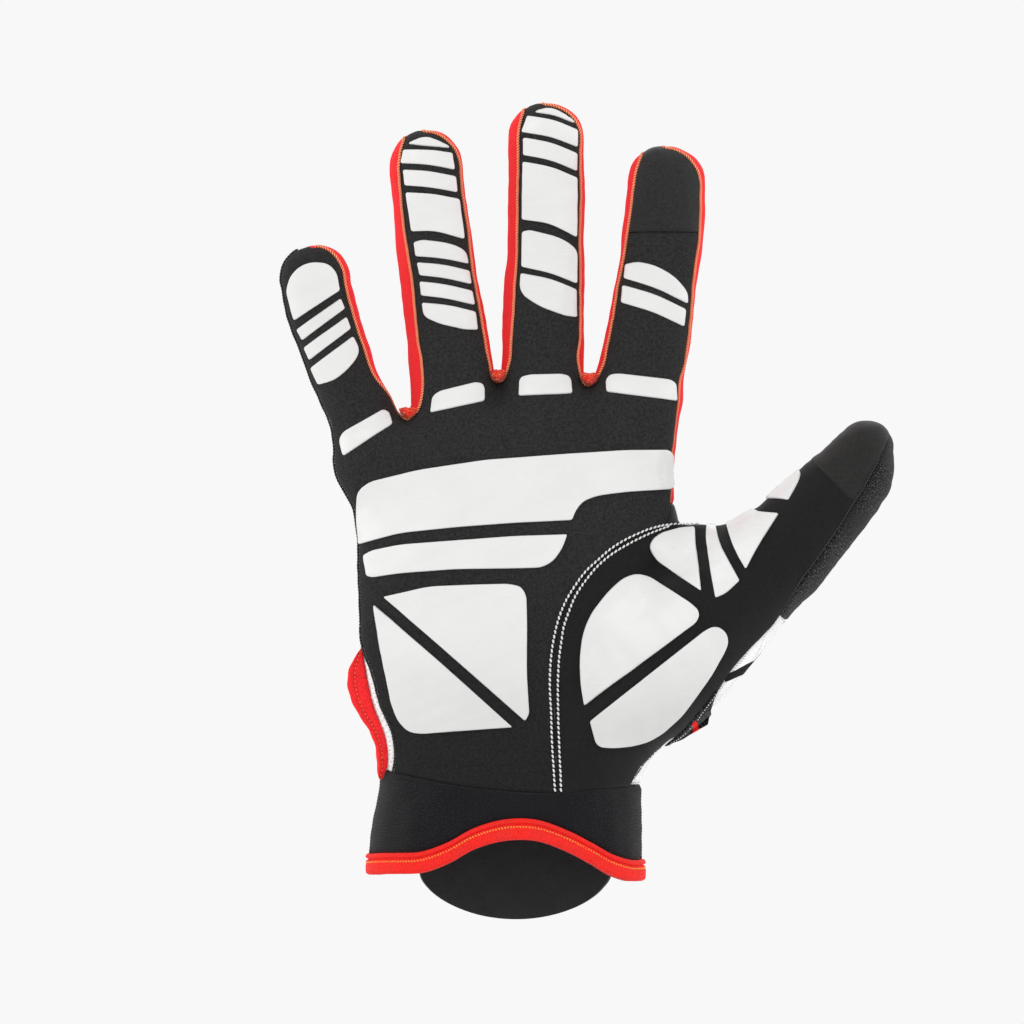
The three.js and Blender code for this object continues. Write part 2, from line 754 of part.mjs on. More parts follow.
// Joins sheets into one, sharing the points that coincide.
function joinSheets(sheets) {
  const points = [];
  const faces = [];
  const seen = new Map();
  for (const sheet of sheets) {
    const index = sheet.points.map((p) => {
      const key = [p.x, p.y, p.z].map((value) => value.toFixed(3)).join(" ");
      if (!seen.has(key)) {
        seen.set(key, points.length);
        points.push(p);
      }
      return seen.get(key);
    });
    for (const face of sheet.faces) {
      const kept = face.map((i) => index[i]).filter((value, i, all) => all.indexOf(value) === i);
      if (kept.length > 2) faces.push(kept);
    }
  }
  return { points, faces };
}

function triangles(sheet) {
  const list = [];
  for (const face of sheet.faces) {
    if (face.length === 3) {
      list.push(face);
      continue;
    }
    const [a, b, c, d] = face;
    const p = sheet.points;
    if (p[a].distanceTo(p[c]) <= p[b].distanceTo(p[d])) {
      list.push([a, b, c], [a, c, d]);
    } else {
      list.push([a, b, d], [b, c, d]);
    }
  }
  return list;
}

function faceNormal(points, [a, b, c]) {
  const first = new THREE.Vector3().subVectors(points[b], points[a]);
  const second = new THREE.Vector3().subVectors(points[c], points[a]);
  return first.cross(second);
}

function borderEdges(list) {
  const edges = new Map();
  for (const [a, b, c] of list) {
    for (const [from, to] of [[a, b], [b, c], [c, a]]) {
      if (edges.has(to + " " + from)) edges.delete(to + " " + from);
      else edges.set(from + " " + to, [from, to]);
    }
  }
  return [...edges.values()];
}

// A closed wall on the body: the sheet's points raised to the outside and inside offsets, its border
// drawn in by half the seam gap.
function wallOn(sheet, outside, inside, gap) {
  const normals = sheet.points.map((p) => outward(p).normalize());
  let list = triangles(sheet);
  const facing = list.reduce((sum, face) => sum + faceNormal(sheet.points, face).dot(normals[face[0]]), 0);
  if (facing < 0) list = list.map(([a, b, c]) => [a, c, b]);
  const border = borderEdges(list);
  const pulls = new Map();
  for (const [from, to] of border) {
    const edge = new THREE.Vector3().subVectors(sheet.points[to], sheet.points[from]).normalize();
    for (const corner of [from, to]) {
      const inwardPull = new THREE.Vector3().crossVectors(normals[corner], edge);
      if (!pulls.has(corner)) pulls.set(corner, []);
      pulls.get(corner).push(inwardPull);
    }
  }
  const drawn = sheet.points.map((p, i) => {
    if (!pulls.has(i)) return p;
    const sides = pulls.get(i);
    const sum = sides.reduce((total, side) => total.add(side), new THREE.Vector3());
    const direction = sum.normalize();
    const reach = Math.max(direction.dot(sides[0]), 0.3);
    return p.clone().addScaledVector(direction, gap / 2 / reach);
  });
  const outer = drawn.map((p, i) => p.clone().addScaledVector(normals[i], outside));
  const inner = drawn.map((p, i) => p.clone().addScaledVector(normals[i], inside));
  const corners = [...outer, ...inner];
  const count = outer.length;
  const faces = [];
  for (const [a, b, c] of list) faces.push([a, b, c], [a + count, c + count, b + count]);
  for (const [from, to] of border) {
    if (outer[to].distanceTo(inner[from]) <= outer[from].distanceTo(inner[to])) {
      faces.push([to, from, from + count], [to, from + count, to + count]);
    } else {
      faces.push([to, from, to + count], [from, from + count, to + count]);
    }
  }
  return { corners, faces };
}

const glove = new THREE.Group();
glove.name = "racing_glove";

function addPiece(name, solid, colour, roughness = 0.85) {
  const position = new Float32Array(solid.faces.length * 9);
  solid.faces.flat().forEach((corner, i) => solid.corners[corner].toArray(position, i * 3));
  const geometry = new THREE.BufferGeometry();
  geometry.setAttribute("position", new THREE.BufferAttribute(position, 3));
  geometry.computeVertexNormals();
  const material = new THREE.MeshStandardMaterial({ color: colour, roughness, metalness: 0 });
  const mesh = new THREE.Mesh(geometry, material);
  mesh.name = name;
  glove.add(mesh);
}

function addCloth(name, sheet, colour, roughness) {
  addPiece(name, wallOn(sheet, 0, -clothWall, seamGap), colour, roughness);
}

// The four finger blocks of a front or back panel, each from its share of the knuckle row.
function fingerSheets(knuckles, side, columns, skip) {
  return Object.keys(fingers).map((name, k) => {
    const base = knuckles.slice(k * columns, (k + 1) * columns + 1);
    const rows = fingerBlock(name, side, columns, 0);
    const kept = skip === name ? rows.slice(0, fingerHeights[name].indexOf(indexTouchHeight) + 1) : rows;
    return gridSheet([base, ...kept]);
  });
}

// A row of points along the cuff's top seam.
function cuffSeamRow(startX, endX, columns, side) {
  const row = [];
  for (let i = 0; i <= columns; i += 1) {
    const even = i / columns;
    const share = mix(even, 0.5 - 0.5 * Math.cos(Math.PI * even), 0.45);
    const x = mix(startX, endX, share);
    row.push(touch(x, readColumn(cuffSeam, "z", x, "x"), side));
  }
  return row;
}

// The touch cloth over the index fingertip.
function indexTouchPatch() {
  return gridSheet(fingerBlock("index", -1, fingerColumns, indexTouchHeight));
}

// Palm cloth: the palm's rows, the knuckle row and the four finger fronts.
function palmPanel() {
  const columns = fingerColumns * 4;
  const rows = palmRows.map(({ height, rightX, rightZ }, i) => {
    const start = ulnarPoint(height);
    if (i === 0) return cuffSeamRow(start.x, rightX, columns, -1);
    const row = crossRow([start.x, start.z], [rightX, rightZ], columns, -1);
    row[0] = start;
    return row;
  });
  const knuckleEnd = touch(fingerValue(fingers.index, "seamRight", palmTopRow.right), palmTopRow.right, -1);
  const knuckles = knuckleRow(-1, fingerColumns, ulnarPoint(palmTopRow.left), knuckleEnd);
  const below = rows[rows.length - 1];
  const between = knuckles.map((p, i) => touch(mix(p.x, below[i].x, 0.5), mix(p.z, below[i].z, 0.5), -1));
  between[0] = ulnarPoint(between[0].z);
  rows.push(between, knuckles);
  const sheets = fingerSheets(knuckles, -1, fingerColumns, "index");
  return joinSheets([gridSheet(rows), ...sheets]);
}

// The start of each thumb row: on the front seam, on the outline, or behind the crotch edge.
function thumbStart(row) {
  if (row.turn === 0) return touch(row.leftX, row.leftZ, -1);
  if (row.turn === 1) return settle(row.leftX, -6, row.leftZ);
  return touch(row.backX, row.backZ, 1);
}

const thumbColumns = 9; // as many as the rim's places

function thumbFront(row) {
  if (row === thumbRows[0]) return cuffSeamRow(row.leftX, row.rightX, thumbColumns, -1);
  const points = crossRow([row.leftX, row.leftZ], [row.rightX, row.rightZ], thumbColumns, -1);
  if (row.turn === 0) return points;
  const depth = readThumbDepth(row.leftX);
  if (row.turn === 1) {
    points[0] = thumbStart(row);
    return points;
  }
  const outline = settle(row.leftX, depth, row.leftZ);
  return [thumbStart(row), outline, ...points.slice(2)];
}

function readThumbDepth(x) {
  const joints = thumbJoints.map((joint) => ({ height: joint.x, y: joint.y }));
  return readColumn(joints, "y", x);
}

// The rounded edge of the thumb cloth at the tip, from behind the crotch side, over the top, to the outer
// seam: distances across and along from the tip's centre, and the side (0 is the outline).
const thumbRimPlaces = tabulate(["across", "along", "side"], [
  [-5.0, 6.6, 1],
  [-6.2, 7.6, 0],
  [-4.4, 8.2, -1],
  [-3.2, 8.7, -1],
  [-1.9, 9.1, -1],
  [-0.6, 9.3, -1],
  [0.8, 9.1, -1],
  [2.2, 7.9, -1],
  [3.2, 6.1, -1],
  [3.9, 3.8, -1],
]);
const thumbLeanX = 0.6;
const thumbLeanZ = 0.8;

function thumbRim() {
  const tip = thumbJoints[thumbJoints.length - 1];
  return thumbRimPlaces.map(({ across, along, side }) => {
    const x = tip.x + across * thumbLeanZ + along * thumbLeanX;
    const z = tip.z - across * thumbLeanX + along * thumbLeanZ;
    return side === 0 ? settle(x, tip.y, z) : touch(x, z, side);
  });
}

// The thumb rows with one more between each two that start on the front seam and lie far apart.
function thumbRowsFilled() {
  const filled = [];
  thumbRows.slice(0, thumbTouchRow + 1).forEach((row, i) => {
    filled.push(row);
    const next = thumbRows[i + 1];
    if (next.turn > 0 || next.rightZ - row.rightZ < 5.8) return;
    filled.push({
      turn: 0,
      leftX: mix(row.leftX, next.leftX, 0.5),
      leftZ: mix(row.leftZ, next.leftZ, 0.5),
      rightX: mix(row.rightX, next.rightX, 0.5),
      rightZ: mix(row.rightZ, next.rightZ, 0.5),
    });
  });
  return filled;
}

function thumbPanel() {
  return gridSheet(thumbRowsFilled().map(thumbFront));
}

// A row part of the way over the thumb's tip, between a cross row and the rim.
function overTip(fromRow, toRow, share) {
  const tip = thumbJoints[thumbJoints.length - 1];
  const centre = new THREE.Vector3(tip.x, tip.y, tip.z);
  return fromRow.map((from, i) => {
    const away = from.clone().lerp(toRow[i], share).sub(centre).setLength(tip.wide);
    return settle(centre.x + away.x, centre.y + away.y, centre.z + away.z);
  });
}

const tipShares = [0.34, 0.68];

function thumbTipPatch() {
  const rows = thumbRows.slice(thumbTouchRow).map(thumbFront);
  const last = rows[rows.length - 1];
  return gridSheet([...rows, ...tipShares.map((share) => overTip(last, thumbRim(), share)), thumbRim()]);
}

// The outline point beside the outer seam, square to the thumb's axis.
const outerLeanX = 0.72;
const outerLeanZ = -0.69;
const outerReach = 9;

function thumbOuter(x, z) {
  const depth = readThumbDepth(x) + 1.5;
  return settle(x + outerLeanX * outerReach, depth, z + outerLeanZ * outerReach);
}

const gussetColumns = 8;

// From the outer seam round the thumb's outline and across its back to the crotch-side seam.
function gussetRowPoints(row) {
  const seam = touch(row.rightX, row.rightZ, -1);
  const first = row === thumbRows[gussetRow];
  const outer = first ? touch(row.rightX - 1.2, row.rightZ + 1, 1) : thumbOuter(row.rightX, row.rightZ);
  const points = [seam, outer];
  for (let i = 1; i <= gussetColumns; i += 1) {
    const share = i / gussetColumns;
    points.push(touch(mix(outer.x, row.backX, share), mix(outer.z, row.backZ, share), 1));
  }
  return points;
}

function thumbGusset() {
  const rows = thumbRows.slice(gussetRow).map(gussetRowPoints);
  const last = rows[rows.length - 1];
  const rim = thumbRim().reverse();
  return gridSheet([...rows, ...tipShares.map((share) => overTip(last, rim, share)), rim]);
}

// The stations of a finger's side wall from just above its base to its tip: the palm cloth's edge, the
// outline and the back panel's edge.
function sideStations(name, toLeft) {
  const finger = fingers[name];
  const side = toLeft ? "left" : "right";
  const seam = toLeft ? "seamLeft" : "seamRight";
  const lean = toLeft ? -1 : 1;
  const stations = fingerHeights[name].map((height) => {
    const outline = fingerValue(finger, side, height);
    return {
      front: touch(fingerValue(finger, seam, height), height, -1),
      outline: settle(outline + lean * 0.4, fingerValue(finger, "middle", height), height),
      back: touch(outline - lean * backInset, height, 1),
    };
  });
  const frontShape = tipShape(finger, ...seamInsets(finger, -1));
  const backShape = tipShape(finger, ...seamInsets(finger, 1));
  const fullShape = tipShape(finger, -0.4, -0.4, -0.4);
  const middle = finger.rows[finger.rows.length - 1].middle;
  const rimSteps = fingerColumns / 2;
  const rimAngles = Array.from({ length: rimSteps + 1 }, (_, k) => mix(rimAngle, 90, k / rimSteps));
  for (const angle of [...capAngles, ...rimAngles]) {
    const [x, z] = tipPoint(fullShape, angle, toLeft);
    stations.push({
      front: touch(...tipPoint(frontShape, angle, toLeft), -1),
      outline: settle(x, middle, z),
      back: touch(...tipPoint(backShape, angle, toLeft), 1),
    });
  }
  return stations;
}

// The points across a side wall at one station, bowed out through the outline.
function acrossStation({ front, outline, back }) {
  const row = [front];
  for (let i = 1; i < stripColumns; i += 1) {
    const t = i / stripColumns;
    const pull = outline.clone().multiplyScalar(2).sub(front.clone().add(back).multiplyScalar(0.5));
    const p = front.clone().multiplyScalar((1 - t) ** 2);
    p.addScaledVector(pull, 2 * t * (1 - t)).addScaledVector(back, t * t);
    row.push(settle(p.x, p.y, p.z));
  }
  row.push(back);
  return row;
}

function crotchStation(name) {
  const { x, saddle } = crotches[name];
  return { front: crotchPoint(name, -1), outline: settle(x, 0, saddle), back: crotchPoint(name, 1) };
}

// The red wall between two fingers: down one finger's side, round the crotch and up the next.
function fourchette(leftFinger, rightFinger, crotch) {
  const down = sideStations(leftFinger, false).reverse();
  const up = sideStations(rightFinger, true);
  return gridSheet([...down, crotchStation(crotch), ...up].map(acrossStation));
}

const knuckleHeight = palmTopRow.right;
const sideHeights = [knuckleHeight, 126.5, 118.5, 111, 104];
const sideOutlines = [49.9, 48.2, 47.4, 47.0, 47.2];

// The index finger's outer wall, down to the web of the thumb.
function indexSide() {
  const stations = sideStations("index", false).reverse();
  sideHeights.forEach((height, i) => {
    stations.push({
      front: sideFront(height),
      outline: settle(sideOutlines[i] + 0.6, 0.5, height),
      back: sideBack(height),
    });
  });
  return gridSheet(stations.map(acrossStation));
}

function sideFront(height) {
  if (height === knuckleHeight) return touch(fingerValue(fingers.index, "seamRight", height), height, -1);
  const row = palmRows.find(({ rightZ }) => rightZ === height);
  return touch(row.rightX, row.rightZ, -1);
}

function sideBack(height) {
  const i = sideHeights.indexOf(height);
  return touch(sideOutlines[i] - backInset, height, 1);
}

// The small black gusset over the web between the index side and the thumb.
function webGusset() {
  const top = acrossStation({
    front: sideFront(104),
    outline: settle(sideOutlines[4] + 0.6, 0.5, 104),
    back: sideBack(104),
  });
  const between = top[2].clone().lerp(top[3], 0.5);
  top.splice(3, 0, settle(between.x, between.y, between.z));
  const corner = palmRows.find(({ rightZ }) => rightZ === 97.7);
  const crotchRow = thumbRows.find(({ turn }) => turn === 1);
  const behind = thumbRows.find(({ turn }) => turn === 2);
  const low = thumbRows[gussetRow];
  const bottom = [
    touch(corner.rightX, corner.rightZ, -1),
    thumbStart(crotchRow),
    thumbStart(behind),
    touch(mix(behind.backX, low.backX, 0.5), mix(behind.backZ, low.backZ, 0.5), 1),
    touch(low.backX, low.backZ, 1),
  ];
  return gridSheet([top, bottom]);
}

// Rows of the back panel below the knuckles: height on the little-finger side, and a thumb row or a share
// along the gusset's lower seam where the row ends.
const backRows = tabulate(["height", "thumbRow", "gussetShare"], [
  [28.2, 0, 0],
  [32, 1, 0],
  [37, 2, 0],
  [47, 3, 0],
  [56.5, 4, 0],
  [65, 5, 0],
  [72, 6, 0],
  [77, 6, 0.125],
  [82, 6, 0.375],
  [87, 6, 0.625],
  [92, 6, 1],
]);

const cornerGap = 0.25;

function backPanel() {
  const columns = backColumns * 4;
  const rows = backRows.map(({ height, thumbRow, gussetShare }, i) => {
    const start = i === 0 ? cuffSeamRow(ulnarPoint(height).x, 0, 1, -1)[0] : ulnarPoint(height);
    const outline = i === 0 ? settle(cuffSeam[0].x, 2.2, cuffSeam[0].z + cornerGap) : ulnarOutline(height);
    const thumb = thumbRows[thumbRow];
    let tail;
    if (i === 0) {
      tail = [settle(38.6, 1.5, 24.1), touch(thumb.rightX + cornerGap, thumb.rightZ, -1)];
    } else if (i < gussetRow) {
      tail = [thumbOuter(thumb.rightX, thumb.rightZ), touch(thumb.rightX, thumb.rightZ, -1)];
    } else if (gussetShare === 0) {
      const seam = touch(thumb.rightX, thumb.rightZ, -1);
      tail = [touch(seam.x - 5, seam.z + 1, 1), seam];
    } else {
      const low = gussetRowPoints(thumb);
      const end = low[1 + Math.round(gussetShare * gussetColumns)];
      tail = [touch(end.x - 4, end.z, 1), end];
    }
    const from = [outline.x + 2.2, height];
    const to = [mix(from[0], tail[0].x, 0.9), mix(height, tail[0].z, 0.9)];
    const middle = i === 0
      ? cuffSeamRow(from[0], tail[0].x - 2.5, columns - 4, 1)
      : crossRow(from, to, columns - 4, 1);
    return [start, outline, ...middle, ...tail];
  });
  for (const height of [...sideHeights].reverse()) {
    if (height === knuckleHeight) continue;
    const start = ulnarPoint(height - 2.5);
    const outline = ulnarOutline(height - 2.5);
    const end = sideBack(height);
    const row = crossRow([outline.x + 2.2, outline.z], [end.x, end.z], columns - 2, 1);
    rows.push([start, outline, ...row]);
  }
  const knuckles = knuckleRow(1, backColumns, ulnarPoint(palmTopRow.left), sideBack(knuckleHeight));
  knuckles[1] = ulnarOutline(palmTopRow.left);
  rows.push(knuckles);
  return joinSheets([gridSheet(rows), ...fingerSheets(knuckles, 1, backColumns, "")]);
}

// A point on the wrist at an angle round from the little-finger side (-90) to the thumb side (90).
function wristPoint(side, degrees, heightAt) {
  const left = readColumn(palmSections, "left", 0);
  const right = readColumn(palmSections, "right", 0);
  const angle = THREE.MathUtils.degToRad(degrees);
  const x = (left + right) / 2 + ((right - left) / 2) * Math.sin(angle);
  const height = heightAt(x);
  const edge = readColumn(palmSections, degrees < 0 ? "left" : "right", height);
  if (Math.abs(degrees) > 89) return settle(edge + Math.sign(degrees) * 0.4, 0, height);
  return touch(Math.abs(x) > Math.abs(edge) - 0.5 ? edge - Math.sign(degrees) * 0.5 : x, height, side);
}

function cuffSheet(side, lowAt, highAt, rowCount) {
  const rows = [];
  for (let j = 0; j <= rowCount; j += 1) {
    const row = [];
    for (let i = 0; i <= cuffColumns; i += 1) {
      const degrees = mix(-90, 90, i / cuffColumns);
      row.push(wristPoint(side, degrees, (x) => mix(lowAt(x), highAt(x), j / rowCount)));
    }
    rows.push(row);
  }
  return gridSheet(rows);
}

const cuffTopAt = (x) => readColumn(cuffSeam, "z", x, "x");
const bindingTopAt = (x) => readColumn(bindingEdge, "z", x, "x");

// The half-round pull tab: the smooth inner layer that runs on below the back of the cuff.
function pullTabSheet() {
  const { middle, half, top, straight, drop, columns, rows } = pullTab;
  const grid = [];
  for (let j = 0; j <= rows; j += 1) {
    const row = [];
    for (let i = 0; i <= columns; i += 1) {
      const share = Math.sin(THREE.MathUtils.degToRad(mix(-90, 90, i / columns)));
      const low = straight - drop * Math.sqrt(Math.max(1 - share * share, 0));
      row.push(touch(middle + half * share, mix(low, top, j / rows), 1));
    }
    grid.push(row);
  }
  return gridSheet(grid);
}

// Moves a point out until it stands clear of the body by a distance.
function standOff(p, clear) {
  for (let i = 0; i < 8; i += 1) {
    const distance = bodyDistance(p);
    if (distance >= clear) return p;
    p.addScaledVector(outward(p).normalize(), clear - distance + 0.02);
  }
  return p;
}

// The folded side tab: a flat tape on edge, standing out from the little-finger side of the wrist.
function sideTabSolid() {
  const clear = seamGap;
  const seat = (x, y, z) => {
    const p = settle(x, y, z);
    return p.addScaledVector(outward(p).normalize(), clear);
  };
  const corners = [];
  for (const { height, outer, inner, depth } of sideTab) {
    const half = sideTabThickness / 2;
    const back = seat(inner, depth + half, height);
    const front = seat(inner, depth - half, height);
    const tipX = Math.min(outer, back.x - 0.6, front.x - 0.6);
    corners.push(front, back, standOff(new THREE.Vector3(tipX, depth + half, height), clear),
      standOff(new THREE.Vector3(tipX, depth - half, height), clear));
  }
  const faces = [];
  const quad = (a, b, c, d) => faces.push([a, b, c], [a, c, d]);
  quad(0, 1, 2, 3);
  for (let i = 0; i + 1 < sideTab.length; i += 1) {
    const a = i * 4;
    for (let k = 0; k < 4; k += 1) {
      const next = (k + 1) % 4;
      quad(a + next, a + k, a + 4 + k, a + 4 + next);
    }
  }
  const end = (sideTab.length - 1) * 4;
  quad(end + 3, end + 2, end + 1, end);
  return { corners, faces: facingOut(corners, faces) };
}

function facingOut(corners, faces) {
  const volume = faces.reduce((sum, [a, b, c]) => {
    const cross = new THREE.Vector3().crossVectors(corners[b], corners[c]);
    return sum + corners[a].dot(cross);
  }, 0);
  return volume > 0 ? faces : faces.map(([a, b, c]) => [a, c, b]);
}

// The charcoal wedge over the mesh beside the heel of the thumb.
function wedgeSheet() {
  const rows = wedgeRows.map(({ x, z }) => {
    const outline = settle(x + outerLeanX * 6, -1, z + outerLeanZ * 6);
    const behind = wedgeWraps.map((wrap) => touch(outline.x - outerLeanX * wrap, outline.z - outerLeanZ * wrap, 1));
    return [touch(x, z, -1), outline, ...behind];
  });
  return gridSheet(rows);
}

function lineLengths(line) {
  const lengths = [0];
  for (let i = 1; i < line.length; i += 1) {
    lengths.push(lengths[i - 1] + Math.hypot(line[i][0] - line[i - 1][0], line[i][1] - line[i - 1][1]));
  }
  return lengths;
}

// The point at a share of a polyline's length.
function alongLine(line, share) {
  const lengths = lineLengths(line);
  const at = share * lengths[lengths.length - 1];
  let i = 0;
  while (i + 2 < line.length && lengths[i + 1] < at) i += 1;
  const part = Math.min((at - lengths[i]) / (lengths[i + 1] - lengths[i]), 1);
  return [mix(line[i][0], line[i + 1][0], part), mix(line[i][1], line[i + 1][1], part)];
}

// Where a pad's columns stand: at both edges' corners, beside its ends, and between these where they are far
// apart.
function padShares(lower, upper, columns) {
  const marks = [];
  for (const line of [lower, upper]) {
    const lengths = lineLengths(line);
    const whole = lengths[lengths.length - 1];
    lengths.forEach((length) => marks.push(length / whole));
  }
  const longest = Math.max(...[lower, upper].map((line) => lineLengths(line).pop()));
  const end = Math.min(padCorner / longest, 0.2);
  const kept = [0, end];
  const inner = marks.filter((mark) => mark > end * 1.6 && mark < 1 - end * 1.6).sort((a, b) => a - b);
  for (const mark of inner) {
    if (mark - kept[kept.length - 1] > padMerge) kept.push(mark);
  }
  kept.push(1 - end, 1);
  const shares = [0];
  for (let i = 1; i < kept.length; i += 1) {
    const parts = Math.max(Math.round((kept[i] - kept[i - 1]) * columns), 1);
    for (let k = 1; k <= parts; k += 1) shares.push(mix(kept[i - 1], kept[i], k / parts));
  }
  return shares;
}

// A pad between its lower and upper edges, with its four corners cut off.
function padSheet(lower, upper, columns, rows) {
  const grid = Array.from({ length: rows + 1 }, () => []);
  for (const share of padShares(lower, upper, columns)) {
    const low = alongLine(lower, share);
    const high = alongLine(upper, share);
    const tall = Math.hypot(high[0] - low[0], high[1] - low[1]);
    const atEnd = share === 0 || share === 1;
    const cut = atEnd ? Math.min(padCorner / tall, 0.3) : 0;
    for (let j = 0; j <= rows; j += 1) {
      const rise = mix(cut, 1 - cut, j / rows);
      grid[j].push(touch(mix(low[0], high[0], rise), mix(low[1], high[1], rise), -1));
    }
  }
  return gridSheet(grid);
}

// A finger pad's edge from the left to the right margin, drawn in where the tip rounds off.
function fingerPadEdge(name, left, right, bow) {
  const finger = fingers[name];
  const margins = padMargins[name];
  const shape = tipShape(finger, ...seamInsets(finger, -1));
  const edge = [];
  const parts = 4;
  for (let i = 0; i <= parts; i += 1) {
    const share = i / parts;
    const z = mix(left, right, share) + bow * 4 * share * (1 - share);
    const rise = Math.max(z - shape.z, 0) / (shape.top - 1);
    const narrow = Math.sqrt(Math.max(1 - rise * rise, 0));
    const centre = (fingerValue(finger, "seamLeft", z) + fingerValue(finger, "seamRight", z)) / 2;
    const halfWide = fingerValue(finger, "seamRight", z) - centre;
    const fromX = centre - halfWide * narrow + margins.left;
    const toX = centre + halfWide * narrow - margins.right;
    edge.push([mix(fromX, toX, share), z]);
  }
  return edge;
}

addCloth("palm_panel", palmPanel(), colours.blackCloth);
addCloth("index_touch_patch", indexTouchPatch(), colours.touchCloth);
addCloth("thumb_panel", thumbPanel(), colours.blackCloth);
addCloth("thumb_touch_patch", thumbTipPatch(), colours.touchCloth);
addCloth("thumb_gusset", thumbGusset(), colours.heather);
addCloth("fourchette_pinky_ring", fourchette("pinky", "ring", "pinkyRing"), colours.redCloth);
addCloth("fourchette_ring_middle", fourchette("ring", "middle", "ringMiddle"), colours.redCloth);
addCloth("fourchette_middle_index", fourchette("middle", "index", "middleIndex"), colours.redCloth);
addCloth("index_side_strip", indexSide(), colours.redCloth);
addCloth("web_gusset", webGusset(), colours.blackCloth);
addCloth("back_panel", backPanel(), colours.whiteMesh);
addCloth("cuff_palm", cuffSheet(-1, bindingTopAt, cuffTopAt, cuffRows), colours.knit);
addCloth("cuff_back", cuffSheet(1, () => cuffBackEnd, cuffTopAt, cuffRows), colours.knit);

const bindingSheet = cuffSheet(-1, (x) => bindingTopAt(x) - bindingWidth, bindingTopAt, 1);
addPiece("cuff_binding", wallOn(bindingSheet, tapeOutside, tapeInside, seamGap), colours.redCloth);
addPiece("pull_tab", wallOn(pullTabSheet(), liningOutside, liningInside, 0), colours.tabFace);
addPiece("side_tab", sideTabSolid(), colours.redCloth);
addPiece("side_wedge", wallOn(wedgeSheet(), wedgeLift + wedgeHeight, wedgeLift, seamGap), colours.heather);

for (const [name, rows] of Object.entries(fingerPads)) {
  for (const pad of rows) {
    const lower = fingerPadEdge(name, pad.lowLeft, pad.lowRight, pad.lowBow);
    const upper = fingerPadEdge(name, pad.highLeft, pad.highRight, pad.highBow);
    const sheet = padSheet(lower, upper, fingerColumns, pad.rows);
    addPiece(pad.name, wallOn(sheet, padLift + padHeight, padLift, 0), colours.silicone, 0.3);
  }
}
for (const pad of shapedPads) {
  const sheet = padSheet(pad.lower, pad.upper, pad.columns, pad.rows);
  const lift = pad.lift ?? padLift;
  addPiece(pad.name, wallOn(sheet, lift + padHeight, lift, 0), colours.silicone, 0.3);
}

export default glove;
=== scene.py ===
import json
import math

import bpy
import numpy as np
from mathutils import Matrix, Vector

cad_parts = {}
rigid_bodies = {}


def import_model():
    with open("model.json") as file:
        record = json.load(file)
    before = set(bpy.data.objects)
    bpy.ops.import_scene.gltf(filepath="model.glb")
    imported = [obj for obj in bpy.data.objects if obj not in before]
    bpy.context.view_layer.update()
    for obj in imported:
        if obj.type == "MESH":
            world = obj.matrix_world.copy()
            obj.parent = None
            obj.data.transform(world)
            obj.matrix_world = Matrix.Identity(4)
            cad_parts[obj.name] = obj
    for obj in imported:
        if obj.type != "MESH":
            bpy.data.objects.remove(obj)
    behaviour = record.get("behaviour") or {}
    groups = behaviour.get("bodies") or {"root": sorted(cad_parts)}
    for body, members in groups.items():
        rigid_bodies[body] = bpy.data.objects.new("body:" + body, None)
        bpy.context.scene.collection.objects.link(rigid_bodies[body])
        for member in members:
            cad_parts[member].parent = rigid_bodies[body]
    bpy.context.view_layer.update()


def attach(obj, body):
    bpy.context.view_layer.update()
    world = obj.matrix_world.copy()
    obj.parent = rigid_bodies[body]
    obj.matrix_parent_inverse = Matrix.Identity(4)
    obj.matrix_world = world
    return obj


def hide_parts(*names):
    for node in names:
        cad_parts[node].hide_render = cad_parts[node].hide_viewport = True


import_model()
print("frame loaded")


# the hand's shape


def tabulate(names, rows):
    values = np.array(rows, float)
    return {name: values[:, i] for i, name in enumerate(names.split())}


blends = {"finger": 2.5, "palm": 7.0, "thumb": 5.0, "web": 4.0}
powers = {"palm": 2.5, "finger": 2.2, "thumb": 2.0}
palmTop = {"height": 123.0, "cap": 9.0, "slant": 0.16, "fingersFrom": 95}
search = {"step": 0.05, "least": 0.05, "start": 45.0, "passes": 90, "near": 0.001, "past": 40}
millimetre = 0.001

palmSections = tabulate("height left right front back", [
    [-22, -39, 38.2, -22.5, 22.5], [-2, -39, 38.2, -22.5, 22.5], [10, -38.6, 38.2, -22, 22],
    [24, -36.2, 38, -20.5, 20.5], [36, -36.6, 38.6, -18.6, 19], [48, -39.6, 40.5, -17, 17.8],
    [60, -41.2, 43, -16, 17], [74, -42.4, 45.5, -15.6, 16.4], [92, -42.8, 47.6, -15.2, 15.8],
    [100, -43.6, 48.6, -14.9, 15.5], [107, -44.8, 44.4, -14.6, 15.2], [112, -45.8, 42.6, -14.3, 14.9],
    [118, -46.4, 41.8, -13.9, 14.4], [126, -46.6, 42, -13.2, 13.6], [140, -46.6, 43, -12, 12.6],
])

